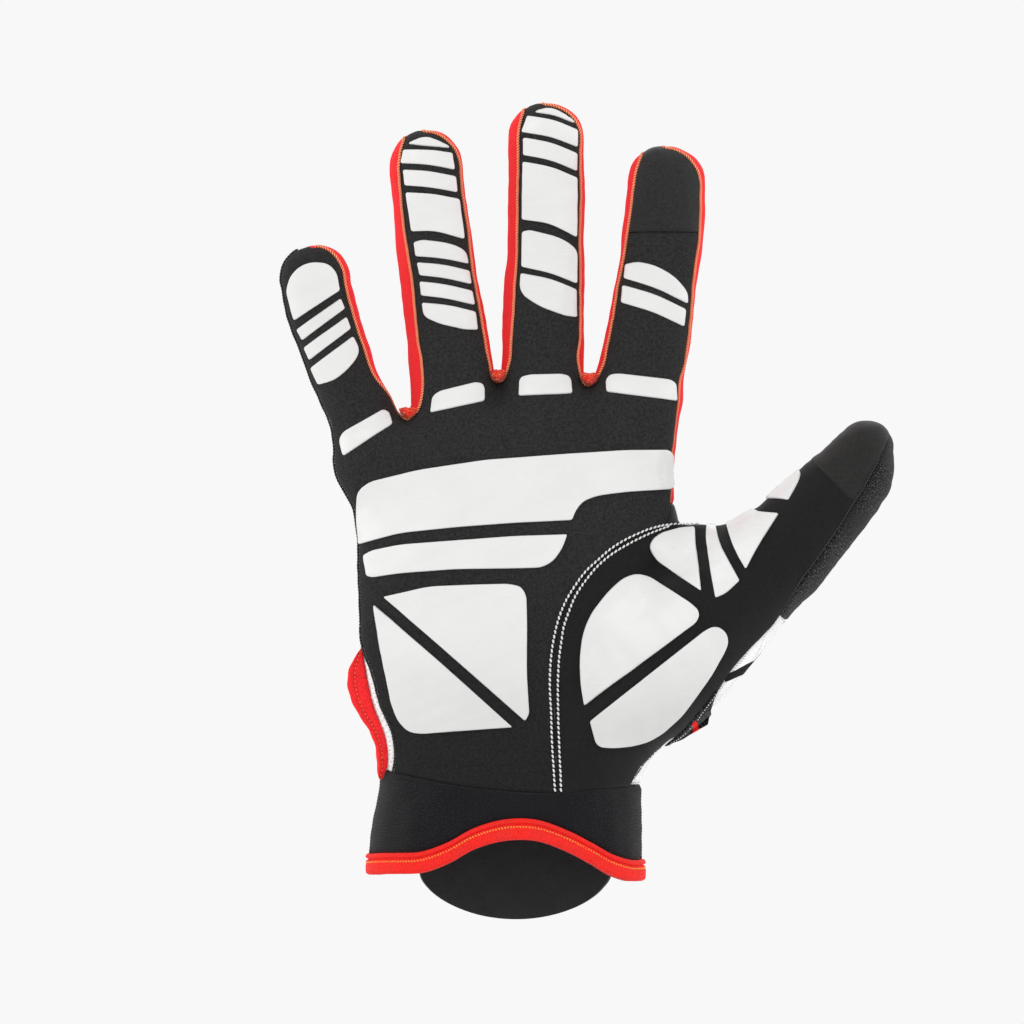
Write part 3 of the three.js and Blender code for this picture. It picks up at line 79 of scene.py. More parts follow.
sectionNames = "height left right seamLeft seamRight middle half"
fingers = {
    "pinky": {"top": 177.4, "rows": tabulate(sectionNames, [
        [118, -47.6, -26.6, -47.6, -28.6, 0.8, 10.4], [125, -51.2, -28.6, -51.2, -30.2, 0.5, 10.1],
        [133, -53.4, -32.4, -53.4, -34, 0, 9.7], [141, -56.8, -36.7, -56.8, -38.1, -0.8, 9.3],
        [149, -59.8, -39.3, -59.8, -41, -2, 9.1], [158, -62.8, -42, -62.8, -43.7, -4, 8.7],
        [167, -64.6, -44.7, -64.6, -46.3, -6.4, 8.2],
    ])},
    "ring": {"top": 209.9, "rows": tabulate(sectionNames, [
        [104, -26, -2, -23, -3.5, 1, 11.2], [128, -27.4, -1.8, -23.2, -3.6, 0.5, 10.6],
        [135, -27.5, -2.4, -23.5, -4.2, 0.2, 10.3], [140, -27.6, -3.7, -23.7, -4.7, 0, 10.1],
        [153, -28.8, -5.5, -25.6, -6.8, -1, 9.8], [170, -30.8, -8.8, -27.4, -9.8, -3, 9.5],
        [187, -32.5, -11.1, -29.9, -12, -5.8, 9], [199, -33.5, -12.6, -31, -13.5, -8.2, 8.5],
    ])},
    "middle": {"top": 217.5, "rows": tabulate(sectionNames, [
        [108, -1.5, 22.5, 1, 20.5, 1, 11.4], [134, -2.8, 22.2, 0.6, 20.2, 0.5, 10.8],
        [139, -1.9, 22, 0.6, 20.1, 0.2, 10.5], [145, -1.4, 21.8, 0.8, 20, 0, 10.3],
        [154, -1.6, 22, 1.4, 20.8, -0.8, 10], [164, -0.9, 22.2, 2.1, 20.8, -1.8, 9.8],
        [180, 0.3, 22, 2.9, 20.7, -4, 9.4], [196, 0.3, 21.9, 3.1, 20.8, -6.6, 9],
        [208, 0.4, 21.5, 3, 20.6, -9, 8.5],
    ])},
    "index": {"top": 205.4, "rows": tabulate(sectionNames, [
        [112, 21, 45.4, 23, 44.6, 1, 11.2], [126, 22.2, 47, 24.5, 46.2, 0.5, 10.8],
        [136, 23.8, 49.3, 25.9, 49, 0, 10.4], [145, 26.2, 51.4, 27.6, 50.7, -0.8, 10.1],
        [154, 28.3, 52.5, 29.5, 51.7, -1.8, 9.8], [170, 31.6, 54.6, 32.5, 53.3, -4, 9.4],
        [184, 33.2, 56.4, 34.8, 55, -6.4, 8.9], [194.6, 34.1, 56.2, 35.9, 54.7, -8.6, 8.4],
    ])},
}

thumbJoints = tabulate("x y z wide deep", [
    [23.5, -2.5, 36.5, 14, 16.6], [46.8, -4.5, 60.7, 18.8, 16.8], [71.1, -9.2, 85.2, 15.7, 13.6],
    [77.2, -10.6, 89.1, 14.3, 12.6], [82.4, -11.9, 94.4, 13.7, 11.7], [88.5, -13.4, 101.5, 12.9, 11.1],
    [97.8, -15.2, 111.5, 11.4, 9.9], [101.6, -16, 119.4, 8.15, 8.9],
])
thumbSamples = 3
web = {"x": 55, "y": -5.5, "z": 87.6, "wide": 11, "deep": 7.5, "tall": 9.7}

# rows of the palm cloth: height on the little-finger side and the right-hand end
palmRows = tabulate("height rightX rightZ", [
    [28.2, 14.3, 22.2], [33, 14, 29.4], [38, 13.7, 36.5], [47, 13.3, 49], [56.5, 13.4, 60.5],
    [65.5, 15.2, 70.5], [73, 18.6, 78.2], [79.5, 23.2, 84.6], [85.5, 29.6, 90.3], [91.5, 37.5, 94.9],
    [97.5, 45.5, 97.7], [103.5, 46.9, 104], [110, 46.9, 111], [117, 47.2, 118.5], [124, 48.1, 126.5],
])
palmTopRow = {"left": 133.0, "right": 135.5}

ulnarSeam = tabulate("height edge", [
    [22, -33.98571], [31, -32], [39, -32.54], [48, -36.62], [56.5, -38.9], [65, -41], [73, -42.6],
    [91, -43], [104, -44.6], [112, -46], [120, -49.8], [126, -51.8], [133, -53.8],
])

# rows across the thumb cloth: turn 0 starts on the front, 1 on the outline, 2 behind it
thumbRows = tabulate("turn leftX leftZ rightX rightZ backX backZ", [
    [0, 14.3, 22.2, 35.2472, 24.5381, 0, 0], [0, 14, 29.4, 39.354, 30.61075, 0, 0],
    [0, 13.7, 36.5, 44.73411, 35.26732, 0, 0], [0, 13.3, 49, 55.4144, 44.59453, 0, 0],
    [0, 13.4, 60.5, 63.6, 56.5, 0, 0], [0, 15.2, 70.5, 71, 64.6, 0, 0],
    [0, 18.6, 78.2, 77.38625, 72.01875, 45.5, 91.8], [0, 23.2, 84.6, 80.39, 77.65, 47.6, 92],
    [0, 29.6, 90.3, 83.5, 82.7, 49.7, 92.2], [0, 37.5, 94.9, 86.3, 86.5, 51.8, 92.4],
    [0, 45.5, 97.7, 89.1, 90.5, 53.9, 92.6], [1, 51, 97.4, 91.7, 94.3, 56, 92.8],
    [2, 58.2, 97.2, 93.7, 97.1, 58.1, 93], [2, 66.5, 99.2, 95.4, 99.9, 68, 95.8],
    [2, 76.6, 108, 96.5, 101.9, 78.4, 103.8], [2, 86.2, 116.2, 97.9, 104.3, 88, 112.6],
    [2, 90.4, 119.8, 100.5, 107.9, 91.6, 116], [2, 94.6, 123.2, 102.7, 112.1, 95.4, 119.2],
    [2, 98.4, 126, 105.228, 116.636, 98.8, 122],
])
thumbTouchRow = 15
gussetRow = 6

# each crotch: place across, height of the outline between the fingers, heights of its front and back seams
crotches = {
    "pinkyRing": (-28.3, 128.8, 128.0, 125.6),
    "ringMiddle": (-2.6, 138.2, 138.6, 135.0),
    "middleIndex": (23.2, 138.2, 137.5, 135.0),
}
crotchRound = {"wide": 1.55, "up": 0.9, "share": 0.2}

cuffSeam = tabulate("x z", [
    [-36.5, 28.6], [-30, 27.1], [-11, 23.7], [13, 21.9], [25, 23], [39, 24],
])
bindingEdge = tabulate("x z", [
    [-39.5, 4.2], [-33, 4.9], [-27, 4.9], [-21.7, 6], [-14.2, 9.2], [-8.5, 12.4], [-2, 14.2], [3.7, 14.9],
    [11, 13.8], [18.2, 10.8], [25.6, 6.9], [31.3, 3.7], [36, 2.6], [39.5, 2.8],
])

fingerHeights = {
    "pinky": [141, 147, 153, 159, 164],
    "ring": [144, 150, 157, 166, 176, 186, 194],
    "middle": [145, 151, 158, 168, 179, 190, 201],
    "index": [143, 150, 158, 167, 174, 181, 188],
}
indexTouchHeight = 181
tips = {"caps": [22, 44], "rim": 62, "inset": 0.6, "backInset": 3.4, "wrap": 0.9, "ease": [[0.0], [0.22]],
        "edgeBelow": 89.9, "sideOut": 0.4, "behindWrap": 2.2}
webDepth = -6.0
sideHeights = [135.5, 126.5, 118.5, 111, 104]
sideOutlines = [49.9, 48.5, 47.6, 47.3, 47.2]

thumbRimPlaces = tabulate("across along side", [
    [-5, 6.6, 1], [-6.2, 7.6, 0], [-4.4, 8.2, -1], [-3.2, 8.7, -1], [-1.9, 9.1, -1], [-0.6, 9.3, -1],
    [0.8, 9.1, -1], [2.2, 7.9, -1], [3.2, 6.1, -1], [3.9, 3.8, -1],
])

backRows = tabulate("height thumbRow gussetShare", [
    [28.2, 0, 0], [32, 1, 0], [37, 2, 0], [47, 3, 0], [56.5, 4, 0], [65, 5, 0], [72, 6, 0], [77, 6, 0.125],
    [82, 6, 0.375], [87, 6, 0.625], [92, 6, 1],
])


def mix(a, b, share):
    return a + (b - a) * share


# cubic through a table's rows, level beyond both ends
def readColumns(table, columns, at, key="height"):
    keys = table[key]
    i = np.clip(np.searchsorted(keys, at, side="left") - 1, 0, len(keys) - 2)
    span = (keys[1:] - keys[:-1])[i]
    t = np.clip((at - keys[i]) / span, 0, 1)
    found = []
    for column in columns:
        values = table[column]
        slopes = np.empty_like(values)
        slopes[1:-1] = (values[2:] - values[:-2]) / (keys[2:] - keys[:-2])
        slopes[0] = (values[1] - values[0]) / (keys[1] - keys[0])
        slopes[-1] = (values[-1] - values[-2]) / (keys[-1] - keys[-2])
        rise = (values[1:] - values[:-1])[i]
        startPull = slopes[i] * span - rise
        endPull = rise - slopes[i + 1] * span
        found.append(values[i] + rise * t + t * (1 - t) * (startPull * (1 - t) + endPull * t))
    return found


def readColumn(table, column, at, key="height"):
    return readColumns(table, [column], np.asarray(at, float), key)[0]


def smoothMin(a, b, reach):
    overlap = np.maximum(reach - np.abs(a - b), 0) / reach
    return np.minimum(a, b) - overlap * overlap * reach / 4


def sectionDistance(across, through, above, wide, deep, cap, power):
    total = np.abs(across / wide) ** power + np.abs(through / deep) ** power + np.abs(above / cap) ** power
    return (total ** (1 / power) - 1) * np.minimum(wide, deep)


def palmDistance(x, y, z):
    front, back, left, right = readColumns(palmSections, ["front", "back", "left", "right"], z)
    above = np.maximum(z - palmTop["slant"] * x - palmTop["height"], 0)
    return sectionDistance(x - (left + right) / 2, y - (front + back) / 2, above, (right - left) / 2,
                           (back - front) / 2, palmTop["cap"], powers["palm"])


def fingerDistance(finger, x, y, z):
    left, right, middle, half = readColumns(finger["rows"], ["left", "right", "middle", "half"], z)
    heights = finger["rows"]["height"]
    above = np.maximum(z - heights[-1], 0)
    below = np.maximum(heights[0] - z, 0)
    cap = np.where(above > 0, finger["top"] - heights[-1], half)
    return sectionDistance(x - (left + right) / 2, y - middle, above + below, (right - left) / 2, half, cap,
                           powers["finger"])


def sampleThumb():
    joints = dict(thumbJoints, height=np.arange(len(thumbJoints["x"]), dtype=float))
    at = np.arange((len(thumbJoints["x"]) - 1) * thumbSamples + 1) / thumbSamples
    return np.stack(readColumns(joints, ["x", "y", "z", "wide", "deep"], at), axis=1)


thumbAxis = sampleThumb()


def thumbDistance(x, y, z):
    nearest = np.full(len(x), np.inf)
    for start, end in zip(thumbAxis[:-1], thumbAxis[1:]):
        dx, dy, dz = end[:3] - start[:3]
        reach = (x - start[0]) * dx + (y - start[1]) * dy + (z - start[2]) * dz
        share = np.clip(reach / (dx * dx + dy * dy + dz * dz), 0, 1)
        awayX, awayY, awayZ = x - start[0] - dx * share, y - start[1] - dy * share, z - start[2] - dz * share
        flat = math.hypot(dx, dz)
        wide, deep = mix(start[3], end[3], share), mix(start[4], end[4], share)
        across, along = (awayX * dz - awayZ * dx) / flat, (awayX * dx + awayZ * dz) / flat
        nearest = np.minimum(nearest, sectionDistance(across, awayY, along, wide, deep, wide, powers["thumb"]))
    return nearest


# the whole hand body: below zero inside, above zero outside
def bodyDistance(p):
    x, y, z = p[:, 0], p[:, 1], p[:, 2]
    distance = palmDistance(x, y, z)
    high = z > palmTop["fingersFrom"]
    if high.any():
        near = None
        for finger in fingers.values():
            one = fingerDistance(finger, x[high], y[high], z[high])
            near = one if near is None else smoothMin(near, one, blends["finger"])
        distance[high] = smoothMin(distance[high], near, blends["palm"])
    right = x > 0
    if right.any():
        xr, yr, zr = x[right], y[right], z[right]
        webDistance = sectionDistance(xr - web["x"], yr - web["y"], zr - web["z"], web["wide"], web["deep"],
                                      web["tall"], 2)
        merged = smoothMin(distance[right], thumbDistance(xr, yr, zr), blends["thumb"])
        distance[right] = smoothMin(merged, webDistance, blends["web"])
    return distance


def gradient(p):
    step = search["step"]
    slopes = np.empty_like(p)
    for axis in range(3):
        offset = np.zeros(3)
        offset[axis] = step
        slopes[:, axis] = (bodyDistance(p + offset) - bodyDistance(p - offset)) / (2 * step)
    return slopes


# moves points near the body onto it, along its gradient
def settle(points, rounds=8):
    shape = np.shape(points)
    p = np.array(points, float).reshape(-1, 3)
    for _ in range(rounds):
        away = gradient(p)
        steep = np.maximum((away ** 2).sum(axis=1), search["least"])
        p -= away * (bodyDistance(p) / steep)[:, None]
    return p.reshape(shape)


def settleAt(x, y, z, rounds=8):
    return settle(np.stack(np.broadcast_arrays(x, y, z), axis=-1).astype(float), rounds)


def outward(points):
    shape = np.shape(points)
    away = gradient(np.array(points, float).reshape(-1, 3))
    return (away / np.linalg.norm(away, axis=1, keepdims=True)).reshape(shape)


# the body's points at (x, z) seen from the front (side -1) or the back (side 1); beside the outline the
# nearest point is taken
def touch(x, z, side):
    x, z = np.broadcast_arrays(np.asarray(x, float), np.asarray(z, float))
    shape = x.shape
    p = np.stack([x.ravel(), np.full(x.size, side * search["start"]), z.ravel()], axis=1)
    closest, closestY = np.full(x.size, np.inf), np.zeros(x.size)
    active, hit = np.arange(x.size), np.zeros(x.size, bool)
    for _ in range(search["passes"]):
        distance = bodyDistance(p[active])
        closer = distance < closest[active]
        closest[active[closer]] = distance[closer]
        closestY[active[closer]] = p[active[closer], 1]
        there = distance < search["near"]
        hit[active[there]] = True
        p[active, 1] -= np.where(there, 0, side * distance)
        active = active[~there & (p[active, 1] * side > -search["past"])]
        if not len(active):
            break
    if not hit.all():
        p[~hit] = settleAt(p[~hit, 0], closestY[~hit], p[~hit, 2])
    return p.reshape(shape + (3,))


# the seams and the panels between them, as coarse grids of points on the body

crowding = 0.45   # how far a row's points crowd toward its ends
ulnar = {"fingerFrom": 130, "out": 0.3, "seam": (-1.6, -2.6), "outline": (2.4, 2.2), "near": 1.2}


def fingerValue(name, column, height):
    return readColumn(fingers[name]["rows"], column, height)


# points round a finger's tip: an ellipse set in at the left, right and top, at angles above level
def tipPoints(name, insets, degrees, toLeft):
    rows, top = fingers[name]["rows"], fingers[name]["top"]
    left, right, height = (rows[column][-1] for column in ("left", "right", "height"))
    x, angle = (left + right) / 2, np.radians(degrees)
    reach = np.where(toLeft, -(x - left - insets[0]), right - x - insets[1])
    return x + reach * np.cos(angle), height + (top - height - insets[2]) * np.sin(angle)


def seamInsets(name, side):
    if side > 0:
        return [tips["backInset"]] * 3
    rows = fingers[name]["rows"]
    return [rows["seamLeft"][-1] - rows["left"][-1], rows["right"][-1] - rows["seamRight"][-1], tips["inset"]]


# the little-finger edge: a little out from the finger's outline and, lower down, from the palm's
def ulnarSide(height, depths):
    left, middle = readColumns(fingers["pinky"]["rows"], ["left", "middle"], height)
    high = height > ulnar["fingerFrom"]
    x = np.where(high, left, readColumn(palmSections, "left", height)) - ulnar["out"]
    return settleAt(x, np.where(high, middle + depths[0], depths[1]), height)


# where the palm cloth meets the mesh: on that edge, or on the front where the seam is set in
def ulnarPoint(height):
    height = np.atleast_1d(np.asarray(height, float))
    edge, outline = readColumn(ulnarSeam, "edge", height), readColumn(palmSections, "left", height)
    onOutline = (height > ulnar["fingerFrom"]) | (edge - outline < ulnar["near"])
    return np.where(onOutline[:, None], ulnarSide(height, ulnar["seam"]), touch(edge, height, -1))


def ulnarOutline(height):
    return ulnarSide(np.atleast_1d(np.asarray(height, float)), ulnar["outline"])


def crossShares(columns):
    even = np.arange(columns + 1) / columns
    return mix(even, 0.5 - 0.5 * np.cos(np.pi * even), crowding)


# rows of points between (x, z) starts and ends, closer together at both ends
def crossRows(startX, startZ, endX, endZ, columns, side):
    share = crossShares(columns)
    x = mix(np.asarray(startX, float)[..., None], np.asarray(endX, float)[..., None], share)
    z = mix(np.asarray(startZ, float)[..., None], np.asarray(endZ, float)[..., None], share)
    return touch(x, z, side)


# the palm cloth reaches the outline over a tip's left side
def leftTip(name, degrees):
    x, z = tipPoints(name, (0, 0, 0), np.atleast_1d(degrees), True)
    depth = ulnar["seam"][0] if name == "pinky" else tips["wrap"]
    return settleAt(x, fingers[name]["rows"]["middle"][-1] + depth, z)


# its seam on the way there
def leftCaps(name):
    x, z = tipPoints(name, seamInsets(name, -1), tips["caps"], True)
    return settle(mix(touch(x, z, -1), leftTip(name, tips["caps"]), np.array(tips["ease"])))


def rimRow(name, side, columns):
    turn = mix(tips["rim"], 180 - tips["rim"], np.arange(columns + 1) / columns)
    degrees = np.where(turn <= 90, turn, 180 - turn)
    row = touch(*tipPoints(name, seamInsets(name, side), degrees, turn <= 90.0001), side)
    if name == "pinky" or side < 0:
        onEdge = turn < tips["edgeBelow"]
        row[onEdge] = leftTip(name, degrees[onEdge])
    return row


# the rows of a finger's front or back panel above its base row, up to and round the tip
def fingerBlock(name, side, columns, fromHeight=0):
    heights = np.array([h for h in fingerHeights[name] if h >= fromHeight], float)
    inset = tips["backInset"] if side > 0 else 0
    left = fingerValue(name, "seamLeft" if side < 0 else "left", heights) + inset
    right = fingerValue(name, "seamRight" if side < 0 else "right", heights) - inset
    rows = crossRows(left, heights, right, heights, columns, side)
    start, end = (tipPoints(name, seamInsets(name, side), tips["caps"], toLeft) for toLeft in (True, False))
    capRows = crossRows(*start, *end, columns, side)
    if name == "pinky":
        rows[:, 0], capRows[:, 0] = ulnarPoint(heights), leftTip(name, tips["caps"])
        if side > 0:
            rows[:, 1], capRows[:, 1] = ulnarOutline(heights), touch(*start, side)
    elif side < 0:
        capRows[:, 0] = leftCaps(name)
    return np.concatenate([rows, capRows, rimRow(name, side, columns)[None]])


# a crotch's lowest point on one side or, with a lean, the point beside it where the rounding starts
def crotchPoint(name, side, lean=0):
    x, saddle, front, back = crotches[name]
    z = (back if side > 0 else front) + (crotchRound["up"] if lean else 0)
    return touch([x + lean * crotchRound["wide"]], [z], side)[0]


# a row just above a finger's base that rounds the crotches on both sides of it
def roundedBase(base, first, name, side):
    row = mix(base, first, crotchRound["share"])
    row = touch(row[:, 0], row[:, 2], side)
    at, names = list(fingers).index(name), list(crotches)
    if at > 0:
        row[0] = crotchPoint(names[at - 1], side, 1)
    if at < 3:
        row[-1] = crotchPoint(names[at], side, -1)
    if name == "pinky":
        row[0] = ulnarPoint(row[0, 2])[0]
        if side > 0:
            row[1] = ulnarOutline(row[0, 2])[0]
    return row


# the fingers' blocks on a knuckle row: base, rounded row and the finger's own rows
def blocksOn(knuckles, side, columns):
    blocks = []
    for k, name in enumerate(fingers):
        base = knuckles[k * columns:(k + 1) * columns + 1]
        block = fingerBlock(name, side, columns)
        if name == "index" and side < 0:
            block = block[:fingerHeights[name].index(indexTouchHeight) + 1]
        blocks.append(np.concatenate([base[None], roundedBase(base, block[0], name, side)[None], block]))
    return blocks


def knuckleRow(side, columns, leftEnd, rightEnd):
    stops = np.array([leftEnd, *[crotchPoint(name, side) for name in crotches], rightEnd])
    share = np.arange(columns) / columns
    x = np.append(mix(stops[:-1, :1], stops[1:, :1], share), rightEnd[0])
    z = np.append(mix(stops[:-1, 2:], stops[1:, 2:], share), rightEnd[2])
    row = touch(x, z, side)
    row[::columns] = stops
    return row


def cuffSeamRow(startX, endX, columns, side):
    x = mix(startX, endX, crossShares(columns))
    return touch(x, readColumn(cuffSeam, "z", x, "x"), side)


def sideFront():
    x = np.append(fingerValue("index", "seamRight", sideHeights[0]), palmRows["rightX"][:-len(sideHeights):-1])
    return touch(x, sideHeights, -1)


def sideBack():
    return touch(np.array(sideOutlines) - tips["backInset"], sideHeights, 1)


fingerColumns, backColumns, thumbColumns, gussetColumns, stripColumns = 6, 4, 9, 8, 8


def palmGrids():
    columns = fingerColumns * 4
    start = ulnarPoint(palmRows["height"])
    rows = crossRows(start[:, 0], start[:, 2], palmRows["rightX"], palmRows["rightZ"], columns, -1)
    rows[:, 0] = start
    rows[0] = cuffSeamRow(start[0, 0], palmRows["rightX"][0], columns, -1)
    knuckles = knuckleRow(-1, fingerColumns, ulnarPoint(palmTopRow["left"])[0], sideFront()[0])
    between = (rows[-1] + knuckles) / 2
    between = touch(between[:, 0], between[:, 2], -1)
    between[0] = ulnarPoint(between[0, 2])[0]
    return np.concatenate([rows, between[None], knuckles[None]]), blocksOn(knuckles, -1, fingerColumns)


def readThumbDepth(x):
    return readColumn(dict(thumbJoints, height=thumbJoints["x"]), "y", x)


def thumbGrid(first, last):
    rows = {name: values[first:last + 1] for name, values in thumbRows.items()}
    grid = crossRows(rows["leftX"], rows["leftZ"], rows["rightX"], rows["rightZ"], thumbColumns, -1)
    if first == 0:
        grid[0] = cuffSeamRow(rows["leftX"][0], rows["rightX"][0], thumbColumns, -1)
    one, two = rows["turn"] == 1, rows["turn"] == 2
    if one.any():
        grid[one, 0] = settleAt(rows["leftX"][one], webDepth, rows["leftZ"][one])
    if two.any():
        grid[two, 0] = touch(rows["backX"][two], rows["backZ"][two], 1)
        grid[two, 1] = settleAt(rows["leftX"][two], readThumbDepth(rows["leftX"][two]), rows["leftZ"][two])
    return grid


tipLean = (0.6, 0.8)
outerLean = (0.72, -0.69)
outerReach, outerDepth = 9, 1.5
tipShares = (0.34, 0.68)
sideBulge, wristOut, wristIn = 0.6, 0.4, 0.5
gussetCorner = {"in": 1.2, "up": 1}


def thumbRim():
    tip = {name: values[-1] for name, values in thumbJoints.items()}
    across, along, side = (thumbRimPlaces[name] for name in ("across", "along", "side"))
    x = tip["x"] + across * tipLean[1] + along * tipLean[0]
    z = tip["z"] - across * tipLean[0] + along * tipLean[1]
    row = touch(x, z, -1)
    row[side > 0] = touch(x[side > 0], z[side > 0], 1)
    row[side == 0] = settleAt(x[side == 0], tip["y"], z[side == 0])
    return row


# a row part of the way over the thumb's tip, between a cross row and the rim
def overTip(fromRow, toRow, share):
    centre = np.array([thumbJoints[name][-1] for name in "xyz"])
    away = mix(fromRow, toRow, share) - centre
    away *= thumbJoints["wide"][-1] / np.linalg.norm(away, axis=1, keepdims=True)
    return settle(centre + away)


def overTipRows(grid, rim):
    return np.concatenate([grid, *[overTip(grid[-1], rim, share)[None] for share in tipShares], rim[None]])


def thumbOuter(x, z):
    depth = readThumbDepth(x) + outerDepth
    return settleAt(x + outerLean[0] * outerReach, depth, z + outerLean[1] * outerReach)


def gussetGrid():
    rows = {name: values[gussetRow:] for name, values in thumbRows.items()}
    seam = touch(rows["rightX"], rows["rightZ"], -1)
    outer = thumbOuter(rows["rightX"], rows["rightZ"])
    outer[0] = touch(rows["rightX"][:1] - gussetCorner["in"], rows["rightZ"][:1] + gussetCorner["up"], 1)[0]
    share = np.arange(1, gussetColumns + 1) / gussetColumns
    x = mix(outer[:, :1], rows["backX"][:, None], share)
    z = mix(outer[:, 2:], rows["backZ"][:, None], share)
    return np.concatenate([seam[:, None], outer[:, None], touch(x, z, 1)], axis=1)


# a finger's side wall: its front seam, outline and back seam, up the finger and round the tip to its middle
def sideStations(name, toLeft):
    side, seam, lean = ("left", "seamLeft", -1) if toLeft else ("right", "seamRight", 1)
    heights = np.array(fingerHeights[name], float)
    outline = fingerValue(name, side, heights)
    lines = [touch(fingerValue(name, seam, heights), heights, -1),
             settleAt(outline + lean * tips["sideOut"], fingerValue(name, "middle", heights), heights),
             touch(outline - lean * tips["backInset"], heights, 1)]
    steps = fingerColumns // 2
    angles = np.concatenate([tips["caps"], mix(tips["rim"], 90, np.arange(steps + 1) / steps)])
    front, middle, back = (tipPoints(name, insets, angles, toLeft)
                           for insets in (seamInsets(name, -1), [-tips["sideOut"]] * 3, seamInsets(name, 1)))
    depth = fingers[name]["rows"]["middle"][-1]
    caps = [touch(*front, -1), settleAt(middle[0], depth, middle[1]), touch(*back, 1)]
    if toLeft:
        onEdge = (angles >= tips["rim"]) & (angles < tips["edgeBelow"])
        caps[0][:2] = leftCaps(name)
        caps[0][onEdge] = leftTip(name, angles[onEdge])
        caps[1][onEdge] = settleAt(middle[0][onEdge], depth + tips["behindWrap"], middle[1][onEdge])
    return [np.concatenate([a, b]) for a, b in zip(lines, caps)]


# points across a side wall at its stations, bowed out through the outline
def acrossStations(front, outline, back, columns=stripColumns):
    t = (np.arange(columns + 1) / columns)[None, :, None]
    pull = 2 * outline - (front + back) / 2
    p = front[:, None] * (1 - t) ** 2 + pull[:, None] * 2 * t * (1 - t) + back[:, None] * t ** 2
    grid = settle(p)
    grid[:, 0], grid[:, -1] = front, back
    return grid


def fourchetteGrid(leftFinger, rightFinger, crotch):
    down = [part[::-1] for part in sideStations(leftFinger, False)]
    up = sideStations(rightFinger, True)
    x, saddle = crotches[crotch][:2]
    wide, lift = crotchRound["wide"], crotchRound["up"]
    front, back = (np.stack([crotchPoint(crotch, side, lean) for lean in (-1, 0, 1)]) for side in (-1, 1))
    middle = settleAt([x - wide, x, x + wide], 0, [saddle + lift, saddle, saddle + lift])
    return acrossStations(*[np.concatenate(three) for three in zip(down, (front, middle, back), up)])


def indexSideGrid():
    down = [part[::-1] for part in sideStations("index", False)]
    low = [sideFront(), settleAt(np.array(sideOutlines) + sideBulge, 0.5, sideHeights), sideBack()]
    return acrossStations(*[np.concatenate(two) for two in zip(down, low)])


def webGrid():
    top = acrossStations(sideFront()[-1:], settleAt([sideOutlines[-1] + sideBulge], 0.5, [sideHeights[-1]]),
                         sideBack()[-1:], 3)[0]
    top = np.concatenate([top[:3], settle((top[2] + top[3])[None] / 2), top[3:]])
    names = "turn leftX leftZ backX backZ".split()
    turn, leftX, leftZ, backX, backZ = (thumbRows[name] for name in names)
    one, two = int(np.argmax(turn == 1)), int(np.argmax(turn == 2))
    behind = [(place[two], (place[two] + place[gussetRow]) / 2, place[gussetRow]) for place in (backX, backZ)]
    bottom = np.concatenate([touch(leftX[one - 1:one], leftZ[one - 1:one], -1),
                             settleAt(leftX[one:two], webDepth, leftZ[one:two]), touch(*behind, 1)])
    return np.stack([top, bottom])


# how far the back's first columns stand from its edges: at the little-finger side, the cuff and the thumb
backGaps = {"edge": 2.2, "cuff": 2.5, "thumb": 5, "gusset": 4, "up": 1, "share": 0.9, "lower": 2.5}
cuffCorner = {"lift": 0.25, "x": 38.6, "y": 1.5, "z": 24.1}


def backGrids(gusset):
    columns = backColumns * 4
    rows = []
    for i, (height, row, share) in enumerate(zip(*backRows.values())):
        x, z = thumbRows["rightX"][[int(row)]], thumbRows["rightZ"][[int(row)]]
        start, outline = ulnarPoint(height)[0], ulnarOutline(height)[0]
        if i == 0:
            start = cuffSeamRow(start[0], 0, 1, -1)[0]
            cornerZ = cuffSeam["z"][:1] + cuffCorner["lift"]
            outline = settleAt(cuffSeam["x"][:1], ulnar["outline"][1], cornerZ)[0]
            tail = np.concatenate([settleAt([cuffCorner["x"]], cuffCorner["y"], [cuffCorner["z"]]),
                                   touch(x + cuffCorner["lift"], z, -1)])
        elif i < gussetRow:
            tail = np.concatenate([thumbOuter(x, z), touch(x, z, -1)])
        elif share == 0:
            seam = touch(x, z, -1)
            tail = np.concatenate([touch(seam[:, 0] - backGaps["thumb"], seam[:, 2] + backGaps["up"], 1), seam])
        else:
            end = gusset[0, 1 + round(share * gussetColumns)]
            tail = np.stack([touch([end[0] - backGaps["gusset"]], [end[2]], 1)[0], end])
        fromX = outline[0] + backGaps["edge"]
        if i == 0:
            middle = cuffSeamRow(fromX, tail[0, 0] - backGaps["cuff"], columns - 4, 1)
        else:
            middle = crossRows(fromX, height, mix(fromX, tail[0, 0], backGaps["share"]),
                               mix(height, tail[0, 2], backGaps["share"]), columns - 4, 1)
        rows.append(np.concatenate([start[None], outline[None], middle, tail]))
    ends = sideBack()
    for height, end in list(zip(sideHeights, ends))[:0:-1]:
        start, outline = (edge(height - backGaps["lower"])[0] for edge in (ulnarPoint, ulnarOutline))
        row = crossRows(outline[0] + backGaps["edge"], outline[2], end[0], end[2], columns - 2, 1)
        rows.append(np.concatenate([start[None], outline[None], row]))
    knuckles = knuckleRow(1, backColumns, ulnarPoint(palmTopRow["left"])[0], ends[0])
    knuckles[1] = ulnarOutline(palmTopRow["left"])[0]
    return np.stack([*rows, knuckles]), blocksOn(knuckles, 1, backColumns)


